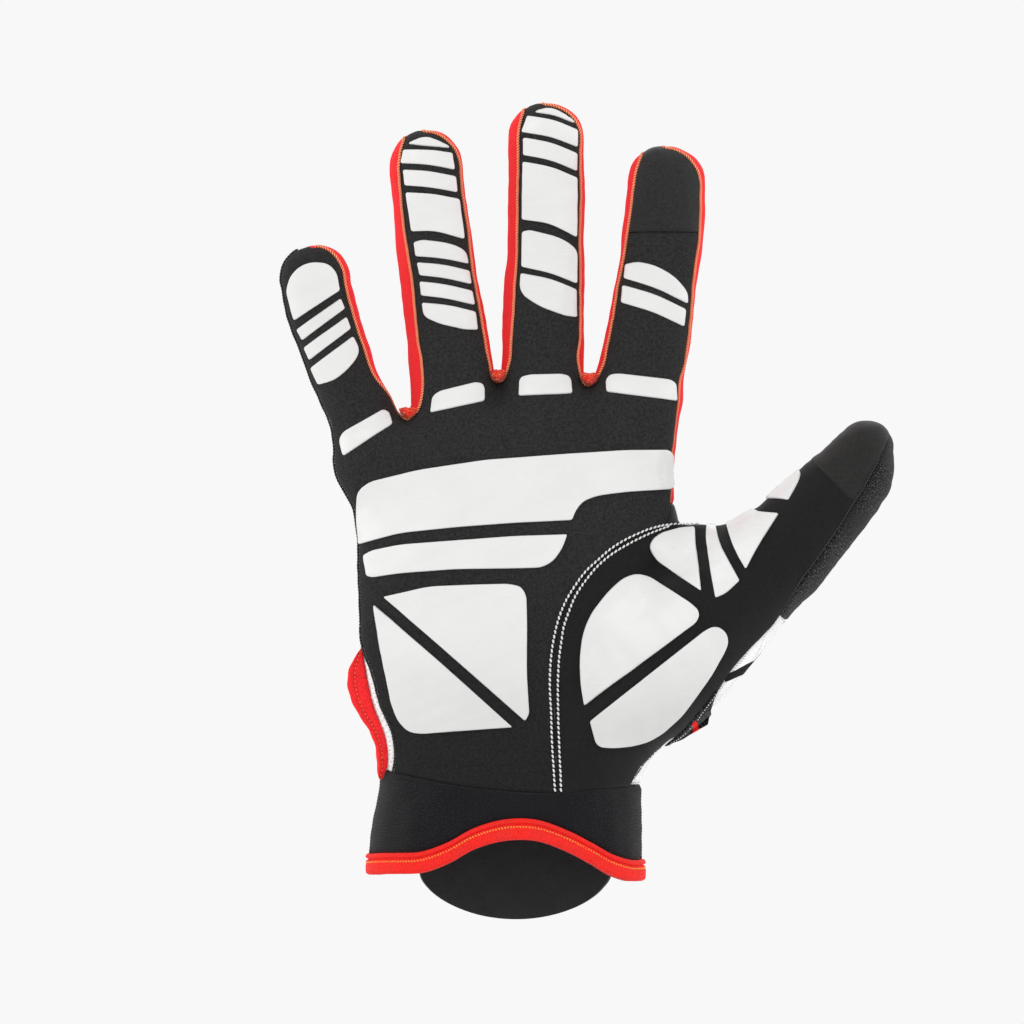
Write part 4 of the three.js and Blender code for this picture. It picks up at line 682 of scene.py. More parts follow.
# the wrist's half between two heights over x, by even turns round it
def wristGrid(facing, lowAt, highAt, rowCount, columns=14):
    left, right = readColumn(palmSections, "left", 0.0), readColumn(palmSections, "right", 0.0)
    degrees = mix(-90.0, 90.0, np.arange(columns + 1) / columns)
    x = (left + right) / 2 + (right - left) / 2 * np.sin(np.radians(degrees))
    height = mix(lowAt(x), highAt(x), (np.arange(rowCount + 1) / rowCount)[:, None])
    edge = np.where(degrees < 0, *(readColumn(palmSections, side, height) for side in ("left", "right")))
    inside = np.where(np.abs(x) > np.abs(edge) - wristIn, edge - np.sign(degrees) * wristIn, x)
    grid = touch(inside, height, facing)
    for j in (0, -1):
        grid[:, j] = settleAt(edge[:, j] + np.sign(degrees[j]) * wristOut, 0.0, height[:, j])
    return grid


def cuffTopAt(x):
    return readColumn(cuffSeam, "z", x, "x")


def bindingTopAt(x):
    return readColumn(bindingEdge, "z", x, "x")


# closed meshes from grids of points


# cubic curves through the rows of a grid, each slope weighed by the chords beside it, with corners at breaks
def refine(points, parts, breaks=()):
    chord = np.maximum(np.linalg.norm(points[1:] - points[:-1], axis=-1), 1e-6)[..., None]
    secant = (points[1:] - points[:-1]) / chord
    start, end = secant.copy(), secant.copy()
    inner = (chord[1:] * secant[:-1] + chord[:-1] * secant[1:]) / (chord[1:] + chord[:-1])
    smooth = np.array([i not in breaks for i in range(1, len(points) - 1)], bool)
    start[1:][smooth] = inner[smooth]
    end[:-1][smooth] = inner[smooth]
    t = (np.arange(parts) / parts).reshape(1, parts, 1, 1)
    p0, p1 = points[:-1, None], points[1:, None]
    startPull, endPull = (start * chord)[:, None], (end * chord)[:, None]
    curve = ((2 * t ** 3 - 3 * t ** 2 + 1) * p0 + (t ** 3 - 2 * t ** 2 + t) * startPull
             + (3 * t ** 2 - 2 * t ** 3) * p1 + (t ** 3 - t ** 2) * endPull)
    return np.concatenate([curve.reshape(-1, *points.shape[1:]), points[-1:]])


def refineBoth(grid, rowParts, columnParts, rowBreaks=(), columnBreaks=()):
    grid = refine(grid, rowParts, rowBreaks)
    return np.swapaxes(refine(np.swapaxes(grid, 0, 1), columnParts, columnBreaks), 0, 1)


def refineLine(points, parts):
    return refine(np.asarray(points, float)[:, None], parts)[:, 0]


def countUp(rows, columns):
    return np.arange(rows * columns).reshape(rows, columns)


def gridFaces(index):
    return np.stack([index[:-1, :-1], index[:-1, 1:], index[1:, 1:], index[1:, :-1]], axis=-1).reshape(-1, 4)


def wholeGrid(grid):
    return grid.reshape(-1, 3), gridFaces(countUp(*grid.shape[:2]))


# one sheet from a grid and the blocks that start from shares of its last row
def joinBlocks(base, blocks):
    index = countUp(*base.shape[:2])
    points, faces, count = [base.reshape(-1, 3)], [gridFaces(index)], index.size
    for k, block in enumerate(blocks):
        width = block.shape[1]
        own = count + np.arange((len(block) - 1) * width).reshape(-1, width)
        first = index[-1:, k * (width - 1):(k + 1) * (width - 1) + 1]
        points.append(block[1:].reshape(-1, 3))
        faces.append(gridFaces(np.concatenate([first, own])))
        count += own.size
    return np.concatenate(points), np.concatenate(faces)


def borderOf(faces, count):
    starts, ends = faces.ravel().astype(np.int64), np.roll(faces, -1, axis=1).ravel().astype(np.int64)
    real = starts != ends
    starts, ends = starts[real], ends[real]
    alone = ~np.isin(starts * count + ends, ends * count + starts)
    return starts[alone], ends[alone]


def distanceTo(points, targets, chunk=1500):
    nearest = np.empty(len(points))
    for at in range(0, len(points), chunk):
        gap = points[at:at + chunk, None] - targets[None]
        nearest[at:at + chunk] = np.sqrt((gap ** 2).sum(axis=-1).min(axis=1))
    return nearest


def unit(vectors):
    return vectors / np.maximum(np.linalg.norm(vectors, axis=-1, keepdims=True), 1e-9)


# how the filled cloth waves in and out, the same for the cloth and the pads on it
ruffles = {"broad": 0.22, "fine": 0.09}


def ruffle(p):
    x, y, z = p[..., 0], p[..., 1], p[..., 2]
    slow = np.sin(z * 0.21 + 1.3 * np.sin(x * 0.13 + 0.7) + y * 0.1)
    broad = np.sin(x * 0.29 + 1.6 * np.sin(z * 0.11)) * slow
    fine = np.sin(x * 0.71 - z * 0.33 + 2 * np.sin(z * 0.17 + 1.1)) * np.sin(z * 0.63 + x * 0.27 + y * 0.3)
    return ruffles["broad"] * broad + ruffles["fine"] * fine


innerFall = 0.3   # how much of its edge's fall the inside of a wall follows


# a closed wall: points raised outside and sunk inside, with the border drawn in and turned down
def closedWall(points, faces, cloth, rise=0.0, waves=1.0):
    normals = outward(points)
    first = np.cross(points[faces[:, 1]] - points[faces[:, 0]], points[faces[:, 3]] - points[faces[:, 0]])
    if (first * normals[faces[:, 0]]).sum() < 0:
        faces = faces[:, ::-1]
    starts, ends = borderOf(faces, len(points))
    edge = unit(points[ends] - points[starts])
    pull = np.zeros_like(points)
    np.add.at(pull, starts, np.cross(normals[starts], edge))
    np.add.at(pull, ends, np.cross(normals[ends], edge))
    drawn = points + unit(pull) * cloth["drawIn"]
    near = distanceTo(points, points[starts])
    fall = cloth["edgeFall"] * (1 - np.minimum(near / cloth["edgeReach"], 1)) ** 2
    height = rise + ruffle(points) * waves
    outer = drawn + normals * (height - fall)[:, None]
    inner = drawn + normals * (height - fall * innerFall - cloth["thick"])[:, None]
    count = len(points)
    sides = np.stack([ends, starts, starts + count, ends + count], axis=1)
    flat = np.zeros(len(faces) * 2 + len(sides), bool)
    flat[len(faces) * 2:] = True
    return np.concatenate([outer, inner]), np.concatenate([faces, faces[:, ::-1] + count, sides]), flat


# how far along and across a grid its points lie, in millimetres
def gridUv(grid):
    across = np.linalg.norm(np.diff(grid, axis=1), axis=2)
    along = np.linalg.norm(np.diff(grid, axis=0), axis=2).mean(axis=1)
    u = np.concatenate([np.zeros((len(grid), 1)), np.cumsum(across, axis=1)], axis=1)
    v = np.concatenate([[0], np.cumsum(along)])
    u = u - u.mean(axis=1, keepdims=True)
    return np.stack([u, np.broadcast_to(v[:, None], u.shape)], axis=-1).reshape(-1, 2)


def addToScene(name, data):
    item = bpy.data.objects.new(name, data)
    bpy.context.scene.collection.objects.link(item)
    return item


# a mesh piece from points in millimetres; a face that repeats its last corner is a triangle
def makePiece(name, points, faces, uv, material, node=None, slot=None, flat=None):
    points, faces = np.asarray(points, float), np.asarray(faces, np.int64)
    three = faces[:, 2] == faces[:, 3]
    kept = np.ones(faces.shape, bool)
    kept[three, 3] = False
    corners = faces[kept]
    starts = np.concatenate([[0], np.cumsum(kept.sum(axis=1))[:-1]])
    mesh = bpy.data.meshes.new(name)
    mesh.vertices.add(len(points))
    mesh.vertices.foreach_set("co", (points * millimetre).ravel())
    mesh.loops.add(len(corners))
    mesh.loops.foreach_set("vertex_index", corners.astype(np.int32))
    mesh.polygons.add(len(faces))
    mesh.polygons.foreach_set("loop_start", starts.astype(np.int32))
    smooth = np.ones(len(faces), bool) if flat is None else ~flat
    mesh.polygons.foreach_set("use_smooth", smooth)
    mesh.update(calc_edges=True)
    mesh.uv_layers.new(name="UVMap").data.foreach_set("uv", np.asarray(uv, float)[corners].ravel())
    mesh.validate()
    mesh.materials.append(material)
    piece = addToScene(name, mesh)
    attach(piece, "root")
    if node:
        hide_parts(node)
    return piece


# turns the faces of a closed piece outward; in a triangle's row the last corner repeats the one before it
def facesOutward(points, faces):
    a, b, c, d = (points[faces[:, k]] for k in range(4))
    volume = (a * np.cross(b, c)).sum() + (a * np.cross(c, d)).sum()
    return faces if volume > 0 else np.where((faces[:, 2] == faces[:, 3])[:, None], faces[:, [1, 0, 2, 3]],
                                             faces[:, ::-1])


# a tube through rings of points, closed by a point at the middle of each end
def closedTube(rings, first, last):
    count = rings.shape[1]
    index = countUp(*rings.shape[:2])
    index = np.concatenate([index, index[:, :1]], axis=1)
    ends = [np.full(count, len(rings) * count + k) for k in (0, 1)]
    caps = [np.stack([index[0, 1:], index[0, :-1], ends[0], ends[0]], axis=1),
            np.stack([index[-1, :-1], index[-1, 1:], ends[1], ends[1]], axis=1)]
    points = np.concatenate([rings.reshape(-1, 3), [first, last]])
    return points, facesOutward(points, np.concatenate([gridFaces(index), *caps]))


def joinParts(parts):
    points, faces, uv = zip(*parts)
    starts = np.cumsum([0, *[len(own) for own in points[:-1]]])
    faces = [own + at for own, at in zip(faces, starts)]
    return np.concatenate(points), np.concatenate(faces), np.concatenate(uv)


def resampleLine(line, spacing):
    lengths = np.concatenate([[0], np.cumsum(np.linalg.norm(np.diff(line, axis=0), axis=1))])
    count = max(int(round(lengths[-1] / spacing)), 2)
    at = np.arange(count + 1) / count * lengths[-1]
    return np.stack([np.interp(at, lengths, line[:, k]) for k in range(line.shape[1])], axis=1)


ropeSink = 0.55   # how far a thread sinks where it is drawn thin


# a twisted thread along a path on the body: a flattened tube whose ridges wind round it, closed at both ends
def ropeParts(path, rope, rise, thinAt=None):
    path = settle(resampleLine(path, rope["step"]), 3)
    normals = outward(path)
    thin = thinAt(path, normals) if thinAt else np.ones(len(path))
    centre = path + normals * (rise + ruffle(path) - (1 - thin) * ropeSink)[:, None]
    across = unit(np.cross(unit(np.gradient(centre, axis=0)), normals))
    length = np.arange(len(path)) * rope["step"]
    taper = np.sqrt(np.clip(np.minimum(length, length[::-1]) / rope["wide"], 0.02, 1)) * thin
    angle = (np.arange(rope["sides"]) / rope["sides"] - 0.25) * 2 * np.pi
    wound = 1 + rope["ridge"] * np.sin(angle[None] * 2 + length[:, None] * 2 * np.pi / rope["pitch"])
    size = wound * taper[:, None]
    ring = (across[:, None] * (np.cos(angle) * rope["wide"] * size)[..., None]
            + normals[:, None] * (np.sin(angle) * rope["tall"] * size)[..., None])
    along, around = np.broadcast_arrays(length[:, None], angle * rope["wide"])
    uv = np.concatenate([np.stack([along, around], axis=-1).reshape(-1, 2), [[0, 0], [length[-1], 0]]])
    return *closedTube(centre[:, None] + ring, centre[0], centre[-1]), uv


# a row of short stitches along a path on the body: each a low rounded capsule that dives in at both ends
def stitchParts(path, stitch, keep=None):
    places = settle(resampleLine(path, stitch["pitch"]), 3)
    if keep is not None:
        places = places[keep(np.arange(len(places)))]
    normals = outward(places)
    along = unit(np.gradient(places, axis=0))
    across = unit(np.cross(along, normals))
    turn = np.radians(stitch["slant"])
    lengthwise = along * np.cos(turn) + across * np.sin(turn)
    sidewise = unit(np.cross(lengthwise, normals))
    centre = places + normals * (stitch["rise"] + ruffle(places))[:, None]
    return capsules(centre, lengthwise, sidewise, normals, stitch)


# a capsule: places along its half length, its thickness there and how deep its ends dive
capsule = {"along": [-1, -0.8, -0.35, 0.35, 0.8, 1], "thick": [0.05, 0.7, 1, 1, 0.7, 0.05], "dive": 0.6}


def capsules(centre, lengthwise, sidewise, normals, stitch):
    t, thick = np.array(capsule["along"]), np.array(capsule["thick"])
    angle = np.arange(6) / 6 * 2 * np.pi
    a = np.broadcast_to((t * stitch["long"] / 2)[:, None], (6, 6))
    b = thick[:, None] * np.cos(angle) * stitch["wide"] / 2
    dive = np.abs(t) ** 3 * stitch["tall"] * capsule["dive"]
    c = thick[:, None] * np.sin(angle) * stitch["tall"] / 2 - dive[:, None]
    points = (centre[:, None, None] + lengthwise[:, None, None] * a[None, ..., None]
              + sidewise[:, None, None] * b[None, ..., None] + normals[:, None, None] * c[None, ..., None])
    index = countUp(6, 6)
    index = np.concatenate([index, index[:, :1]], axis=1)
    ends = [[2, 3, 4, 5], [0, 1, 2, 5], [33, 32, 31, 30], [35, 34, 33, 30]]
    order = np.arange(len(centre))[:, None, None]
    faces = np.concatenate([gridFaces(index)[:, ::-1], ends])[None] + order * index[:, 1:].size
    uv = np.stack([a, b], axis=-1).reshape(1, -1, 2) + order * stitch["pitch"]
    return points.reshape(-1, 3), faces.reshape(-1, 4), uv.reshape(-1, 2)


# materials: node groups give colours, masks, values and heights to each material's own shader


def addNode(tree, kind, inputs=(), **settings):
    node = tree.nodes.new(kind)
    for key, value in settings.items():
        setattr(node, key, value)
    for key, value in dict(inputs).items():
        if isinstance(value, bpy.types.NodeSocket):
            tree.links.new(value, node.inputs[key])
        else:
            node.inputs[key].default_value = value
    return node


def calc(tree, operation, *values):
    return addNode(tree, "ShaderNodeMath", enumerate(values), operation=operation).outputs[0]


def blend(tree, factor, a, b):
    return addNode(tree, "ShaderNodeMix", {0: factor, 6: a, 7: b}, data_type="RGBA").outputs[2]


def spread(tree, value, *limits, kind="LINEAR"):
    inputs = {0: value, **{k + 1: limit for k, limit in enumerate(limits)}}
    return addNode(tree, "ShaderNodeMapRange", inputs, interpolation_type=kind).outputs[0]


def scaleColour(tree, colour, factor):
    shade = addNode(tree, "ShaderNodeVectorMath", {0: colour, "Scale": factor}, operation="SCALE")
    return blend(tree, 1.0, (0, 0, 0, 1), shade.outputs[0])


def fineNoise(tree, place, scale, detail):
    return addNode(tree, "ShaderNodeTexNoise", {"Vector": place, "Scale": scale, "Detail": detail}).outputs[0]


def objectPlace(tree):
    return tree.nodes.new("ShaderNodeTexCoord").outputs["Object"]


# a group's inputs are vectors where no value is given, colours or values
def startGroup(name, **inputs):
    group = bpy.data.node_groups.new(name, "ShaderNodeTree")
    for label, value in inputs.items():
        kind = "Vector" if value is None else "Color" if isinstance(value, tuple) else "Float"
        socket = group.interface.new_socket(name=label, in_out="INPUT", socket_type="NodeSocket" + kind)
        if value is not None:
            socket.default_value = value
    return group, group.nodes.new("NodeGroupInput").outputs


def endGroup(group, **outputs):
    end = group.nodes.new("NodeGroupOutput")
    for label, socket in outputs.items():
        kind = "NodeSocketColor" if socket.type == "RGBA" else "NodeSocketFloat"
        group.interface.new_socket(name=label, in_out="OUTPUT", socket_type=kind)
        group.links.new(socket, end.inputs[label])
    return group


def splitUv(group, vector):
    return addNode(group, "ShaderNodeSeparateXYZ", {0: vector}).outputs[:2]


# V-shaped loops in columns: a sine along the column, pushed on by the distance from its middle
def makeKnit():
    group, given = startGroup("knitLoops", Place=None, Pitch=0.5)
    u, v = splitUv(group, given["Place"])
    column = calc(group, "FRACT", calc(group, "DIVIDE", u, given["Pitch"]))
    side = calc(group, "ABSOLUTE", calc(group, "SUBTRACT", column, 0.5))
    along = calc(group, "ADD", calc(group, "DIVIDE", v, given["Pitch"]), side)
    wave = calc(group, "SINE", calc(group, "MULTIPLY", along, 2 * math.pi))
    half = calc(group, "FRACT", calc(group, "MULTIPLY", column, 2.0))
    roundness = calc(group, "SINE", calc(group, "MULTIPLY", half, math.pi))
    height = calc(group, "MULTIPLY", calc(group, "MULTIPLY_ADD", wave, 0.3, 0.7), roundness)
    return endGroup(group, Height=height, Groove=calc(group, "SUBTRACT", 1.0, roundness))


# small round holes in staggered rows: the squared product of two slanting sines, above a level
def makeHoles():
    group, given = startGroup("meshHoles", Place=None, Pitch=2.0, Level=0.4)
    u, v = splitUv(group, given["Place"])
    sines = []
    for operation in ("ADD", "SUBTRACT"):
        slanting = calc(group, "MULTIPLY", calc(group, operation, u, v), math.pi)
        sines.append(calc(group, "SINE", calc(group, "DIVIDE", slanting, given["Pitch"])))
    both = calc(group, "MULTIPLY", *sines)
    hole = spread(group, calc(group, "MULTIPLY", both, both), given["Level"], 0.95, kind="SMOOTHSTEP")
    return endGroup(group, Hole=hole, Height=calc(group, "SUBTRACT", 1.0, hole))


# short lighter fibres mixed into a darker yarn: stretched noise above a level
def makeHeather():
    group, given = startGroup("heatherFibres", Place=None, Dark=(0.02, 0.02, 0.02, 1), Light=(0.1, 0.1, 0.1, 1),
                              Level=0.5, Scale=0.9, Top=0.72)
    stretch = addNode(group, "ShaderNodeMapping", {0: given["Place"], 3: (2.2, 2.6, 1)})
    noise = fineNoise(group, stretch.outputs[0], given["Scale"], 3.0)
    fibre = spread(group, noise, given["Level"], given["Top"])
    return endGroup(group, Colour=blend(group, fibre, given["Dark"], given["Light"]))


# slow changes of shade over a piece: broad noise in the object's own coordinates
def makeMottle():
    group, given = startGroup("slowMottle", Colour=(1, 1, 1, 1), Scale=30.0, Amount=0.1)
    noise = fineNoise(group, objectPlace(group), given["Scale"], 4.0)
    change = calc(group, "MULTIPLY", calc(group, "SUBTRACT", noise, 0.5), given["Amount"])
    factor = calc(group, "MULTIPLY_ADD", change, 2.0, 1.0)
    return endGroup(group, Colour=scaleColour(group, given["Colour"], factor))


# slanting plies of a thread: a sine along its length, pushed on by the place across it
def makeTwist():
    group, given = startGroup("threadTwist", Place=None, Pitch=0.4, Slant=1.0)
    u, v = splitUv(group, given["Place"])
    along = calc(group, "DIVIDE", calc(group, "MULTIPLY_ADD", v, given["Slant"], u), given["Pitch"])
    wave = calc(group, "SINE", calc(group, "MULTIPLY", along, 2 * math.pi))
    return endGroup(group, Height=calc(group, "MULTIPLY_ADD", wave, 0.5, 0.5))


# faint flow marks of moulded silicone: stretched noise as a height and as a spread of gloss
def makeFlow():
    group, given = startGroup("flowMarks", Stretch=3.0)
    scaled = addNode(group, "ShaderNodeMapping", {0: objectPlace(group), 3: (60, 60, 180), 2: (0, 0.5, 0)})
    noise = fineNoise(group, scaled.outputs[0], given["Stretch"], 3.0)
    return endGroup(group, Height=noise, Gloss=spread(group, noise, 0.35, 0.7, 0.16, 0.34))


# painted shade: a share that falls from one toward a lower value at the wrist, by the height in the object's
# coordinates, so the colour darkens toward the wrist where less light falls
def makePaintedShade():
    group, given = startGroup("heightFade", Colour=(1, 1, 1, 1), Low=0.03, High=0.1, Share=0.8)
    height = addNode(group, "ShaderNodeSeparateXYZ", {0: objectPlace(group)}).outputs[2]
    share = spread(group, height, given["Low"], given["High"], given["Share"], kind="SMOOTHSTEP")
    return endGroup(group, Colour=scaleColour(group, given["Colour"], share))


groups = {"fade": makePaintedShade(), "knit": makeKnit(), "holes": makeHoles(), "heather": makeHeather(),
          "mottle": makeMottle(), "twist": makeTwist(), "flow": makeFlow()}


def useGroup(tree, kind, **inputs):
    return addNode(tree, "ShaderNodeGroup", inputs, node_tree=groups[kind]).outputs


# a material and its shader with uniform values set on the sockets
def startMaterial(name, **values):
    material = bpy.data.materials.new(name)
    material.use_nodes = True
    tree = material.node_tree
    shader = tree.nodes["Principled BSDF"]
    for label, value in values.items():
        shader.inputs[label.replace("_", " ")].default_value = value
    return material, tree, shader


def uvPlace(tree):
    return addNode(tree, "ShaderNodeUVMap", uv_map="UVMap").outputs[0]


# links a colour and a bump, its distance in millimetres, to the shader
def dress(tree, shader, colour, height, distance):
    bump = addNode(tree, "ShaderNodeBump", {"Height": height, "Distance": distance * millimetre})
    tree.links.new(colour, shader.inputs["Base Color"])
    tree.links.new(bump.outputs[0], shader.inputs["Normal"])


# a colour of the screen, 0 to 255, as the shader's own, by the screen's curve
def paint(colour, share=1.0):
    shares = [v / 255 for v in colour]
    return (*[share * (v / 12.92 if v <= 0.04045 else ((v + 0.055) / 1.055) ** 2.4) for v in shares], 1)


def clothMaterial(name, colour, pitch, depth, rough=0.9, sheen=0.1, mottle=0.12, grain=0.3, groove=0.35,
                  fade=1.0):
    material, tree, shader = startMaterial(name, Roughness=rough, Sheen_Weight=sheen, Sheen_Roughness=0.5,
                                           Specular_IOR_Level=0.25)
    knit = useGroup(tree, "knit", Place=uvPlace(tree), Pitch=pitch)
    shade = useGroup(tree, "mottle", Colour=paint(colour), Scale=55.0, Amount=mottle)
    # painted shade: the cloth's colour is darkened toward the wrist by the height
    withPaintedShade = useGroup(tree, "fade", Colour=shade["Colour"], Low=0.025, High=0.1, Share=fade)
    fine = useGroup(tree, "mottle", Colour=withPaintedShade["Colour"], Scale=1500.0, Amount=grain)
    # painted shade: the knit's grooves take a darker copy of the colour, 0.62 of it, as far as the groove value
    # gives
    grooveShade = calc(tree, "MULTIPLY", knit["Groove"], groove)
    dress(tree, shader, blend(tree, grooveShade, fine["Colour"], paint(colour, 0.62)), knit["Height"], depth)
    return material


def heatherMaterial(name, dark, light, level, pitch, depth, scale=0.9, top=0.72):
    material, tree, shader = startMaterial(name, Roughness=0.92, Sheen_Weight=0.12, Specular_IOR_Level=0.2)
    place = uvPlace(tree)
    fibres = useGroup(tree, "heather", Place=place, Dark=paint(dark), Light=paint(light), Level=level,
                      Scale=scale, Top=top)
    shade = useGroup(tree, "mottle", Colour=fibres["Colour"], Scale=70.0, Amount=0.14)
    knit = useGroup(tree, "knit", Place=place, Pitch=pitch)
    dress(tree, shader, shade["Colour"], knit["Height"], depth)
    return material


def meshMaterial(name, colour, hole, pitch, level):
    material, tree, shader = startMaterial(name, Roughness=0.85, Sheen_Weight=0.1, Specular_IOR_Level=0.3)
    place = uvPlace(tree)
    holes = useGroup(tree, "holes", Place=place, Pitch=pitch, Level=level)
    shade = useGroup(tree, "mottle", Colour=paint(colour), Scale=45.0, Amount=0.05)
    fine = useGroup(tree, "knit", Place=place, Pitch=pitch / 5)
    # the holes are the mesh's own pattern; the grey-blue laid in them is painted shade of the hollow behind
    # them
    shadedHoles = blend(tree, calc(tree, "MULTIPLY", holes["Hole"], 0.42), shade["Colour"], paint(hole))
    dress(tree, shader, shadedHoles, calc(tree, "MULTIPLY_ADD", fine["Height"], 0.2, holes["Height"]), 0.25)
    return material


def siliconeMaterial(name, colour):
    material, tree, shader = startMaterial(name, IOR=1.43, Specular_IOR_Level=0.4)
    flow = useGroup(tree, "flow")
    shade = useGroup(tree, "mottle", Colour=paint(colour), Scale=60.0, Amount=0.06)
    # painted shade: the silicone's colour is darkened toward the wrist by the height
    withPaintedShade = useGroup(tree, "fade", Colour=shade["Colour"], Low=0.035, High=0.075, Share=0.87)
    tree.links.new(flow["Gloss"], shader.inputs["Roughness"])
    dress(tree, shader, withPaintedShade["Colour"], flow["Height"], 0.04)
    return material


def threadMaterial(name, colour, dark, pitch, slant):
    material, tree, shader = startMaterial(name, Roughness=0.7, Sheen_Weight=0.1)
    twist = useGroup(tree, "twist", Place=uvPlace(tree), Pitch=pitch, Slant=slant)
    shade = useGroup(tree, "mottle", Colour=paint(colour), Scale=400.0, Amount=0.2)
    # painted shade: the second colour lies in the gaps between the plies; on the red thread the pale orange on
    # the crests is partly painted highlight
    between = calc(tree, "SUBTRACT", 1.0, twist["Height"])
    dress(tree, shader, blend(tree, between, shade["Colour"], paint(dark)), twist["Height"], 0.1)
    return material


# each material: its kind, its colours out of 255, its pitch and depth in millimetres and what differs otherwise
looks = {
    "blackCloth": (clothMaterial, (38, 38, 38), 0.55, 0.05, {"sheen": 0.02, "grain": 1.3, "groove": 0.2,
                                                             "fade": 0.52}),
    "thumbCloth": (clothMaterial, (20, 20, 20), 0.55, 0.05, {"grain": 0.9, "groove": 0.2}),
    "indexTouch": (clothMaterial, (30, 30, 30), 0.4, 0.06, {"rough": 0.62, "sheen": 0.12, "grain": 1.5}),
    "touchCloth": (clothMaterial, (30, 29, 28), 0.4, 0.06, {"rough": 0.7, "sheen": 0.12, "grain": 1.0}),
    "redCloth": (clothMaterial, (255, 46, 52), 0.5, 0.1, {"sheen": 0.02, "mottle": 0.06, "grain": 0.16,
                                                          "groove": 0.1}),
    "redTape": (clothMaterial, (250, 38, 30), 1.2, 0.14, {"rough": 0.75, "sheen": 0.02, "mottle": 0.06,
                                                          "grain": 0.4, "groove": 0.55}),
    "sideTape": (clothMaterial, (255, 38, 42), 0.6, 0.1, {"rough": 0.75, "sheen": 0.02, "mottle": 0.08,
                                                          "grain": 0.55, "groove": 0.22}),
    "tabCloth": (clothMaterial, (43, 43, 43), 0.45, 0.06, {"rough": 0.8}),
    "blackInk": (clothMaterial, (14, 14, 14), 0.5, 0.02, {"sheen": 0.0}),
    "redInk": (clothMaterial, (235, 30, 30), 0.5, 0.03, {"sheen": 0.0}),
    "heather": (heatherMaterial, (11, 11, 12), (86, 84, 88), 0.52, 0.7, 0.12, {"scale": 1.1, "top": 0.64}),
    "cuffKnit": (heatherMaterial, (8, 8, 11), (38, 37, 44), 0.5, 0.5, 0.1, {}),
    "redBunch": (heatherMaterial, (255, 36, 26), (255, 196, 130), 0.52, 0.5, 0.12, {"scale": 1.3}),
    # its second colour is the painted shade in the mesh's holes
    "whiteMesh": (meshMaterial, (254, 255, 255), (176, 190, 200), 1.3, 0.7, {}),
    "silicone": (siliconeMaterial, (226, 226, 225), {}),
    # the threads' second colours are painted shade between the plies
    "redThread": (threadMaterial, (255, 178, 124), (212, 28, 22), 0.8, 0.566, {}),
    "blackThread": (threadMaterial, (34, 34, 34), (18, 18, 18), 0.9, 0.8, {}),
    "whiteThread": (threadMaterial, (255, 255, 254), (250, 250, 248), 0.3, 0.8, {}),
    "tabThread": (threadMaterial, (255, 150, 84), (255, 90, 50), 0.66, 0.8, {}),
    "orangeThread": (threadMaterial, (255, 168, 70), (250, 104, 40), 0.66, 0.8, {}),
}
materials = {name: make(name, *values, **more) for name, (make, *values, more) in looks.items()}
print("materials made")


# the cloth panels

cloth = {"thick": 1.3, "drawIn": 0.08, "edgeFall": 0.5, "edgeReach": 1.5}
patchCloth = {"thick": 1.3, "drawIn": 0.03, "edgeFall": 0.16, "edgeReach": 0.8}
fineness = {"palm": 7, "side": 5, "back": 6, "thumb": 7}


def planeUv(points):
    return points[:, [0, 2]]


# flat place on the back cloth: how far a point lies before the back's top line is added to its width on each
# side, so that nothing is drawn out there
backFlat = {"topX": 10.0, "from": 22.0, "to": 205.0, "middle": 3.0, "spread": 25.0, "samples": 20}


def backUv(points):
    heights = np.linspace(backFlat["from"], backFlat["to"], backFlat["samples"])
    top = touch(np.full(len(heights), backFlat["topX"]), heights, 1)
    drop = np.interp(points[:, 2], heights, top[:, 1]) - points[:, 1]
    across = points[:, 0] + drop * np.tanh((points[:, 0] - backFlat["middle"]) / backFlat["spread"])
    return np.stack([across, points[:, 2]], axis=1)


def addCloth(name, sheet, material, slot, wall=cloth, rise=0.0, uv=None):
    points = settle(sheet[0], 3)
    corners, faces, flat = closedWall(points, sheet[1], wall, rise)
    uv = planeUv(points) if uv is None else uv
    makePiece(name + "_cloth", corners, faces, np.concatenate([uv, uv]), materials[material], name, slot, flat)
    print("cloth", name, len(faces))


def addStrip(name, fine, material, slot, wall=cloth, rise=0.0):
    addCloth(name, wholeGrid(fine), material, slot, wall, rise, gridUv(fine))


palm, fingerBlocks = palmGrids()
parts = fineness["palm"]
fineCorner = int(np.argmax(palmRows["rightZ"] == 97.7))   # the row beside the web's corner
finePalm = refineBoth(palm, parts, parts, (fineCorner, len(palm) - 1), (6, 12, 18))
fineBlocks = [refineBoth(block, parts, parts) for block in fingerBlocks]
addCloth("palm_panel", joinBlocks(finePalm, fineBlocks), "blackCloth", "black_cloth")
indexTip = fingerBlock("index", -1, fingerColumns, indexTouchHeight)
addCloth("index_touch_patch", wholeGrid(refineBoth(indexTip, parts, parts)), "indexTouch", "touch_cloth",
         patchCloth)

parts = fineness["thumb"]
rim = thumbRim()
lowThumb = refineBoth(thumbGrid(0, thumbTouchRow), parts, parts + 3, (10, 11, 12), (1,))
addCloth("thumb_panel", wholeGrid(lowThumb), "thumbCloth", "black_cloth", patchCloth)
thumbTip = overTipRows(thumbGrid(thumbTouchRow, len(thumbRows["turn"]) - 1), rim)
addCloth("thumb_touch_patch", wholeGrid(refineBoth(thumbTip, parts + 2, parts + 3, (), (1,))), "touchCloth",
         "touch_cloth", patchCloth)
gusset = gussetGrid()
addStrip("thumb_gusset", refineBoth(overTipRows(gusset, rim[::-1]), parts, parts, (5, 6), (1,)), "heather",
         "heather_cloth")

parts = fineness["side"]
strips = {"fourchette_" + left + "_" + right: fourchetteGrid(left, right, crotch)
          for left, right, crotch in zip(list(fingers)[:-1], list(fingers)[1:], crotches)}
strips["index_side_strip"] = indexSideGrid()
for name, grid in strips.items():
    addStrip(name, refineBoth(grid, parts + 1, 3), "redCloth", "red_cloth")

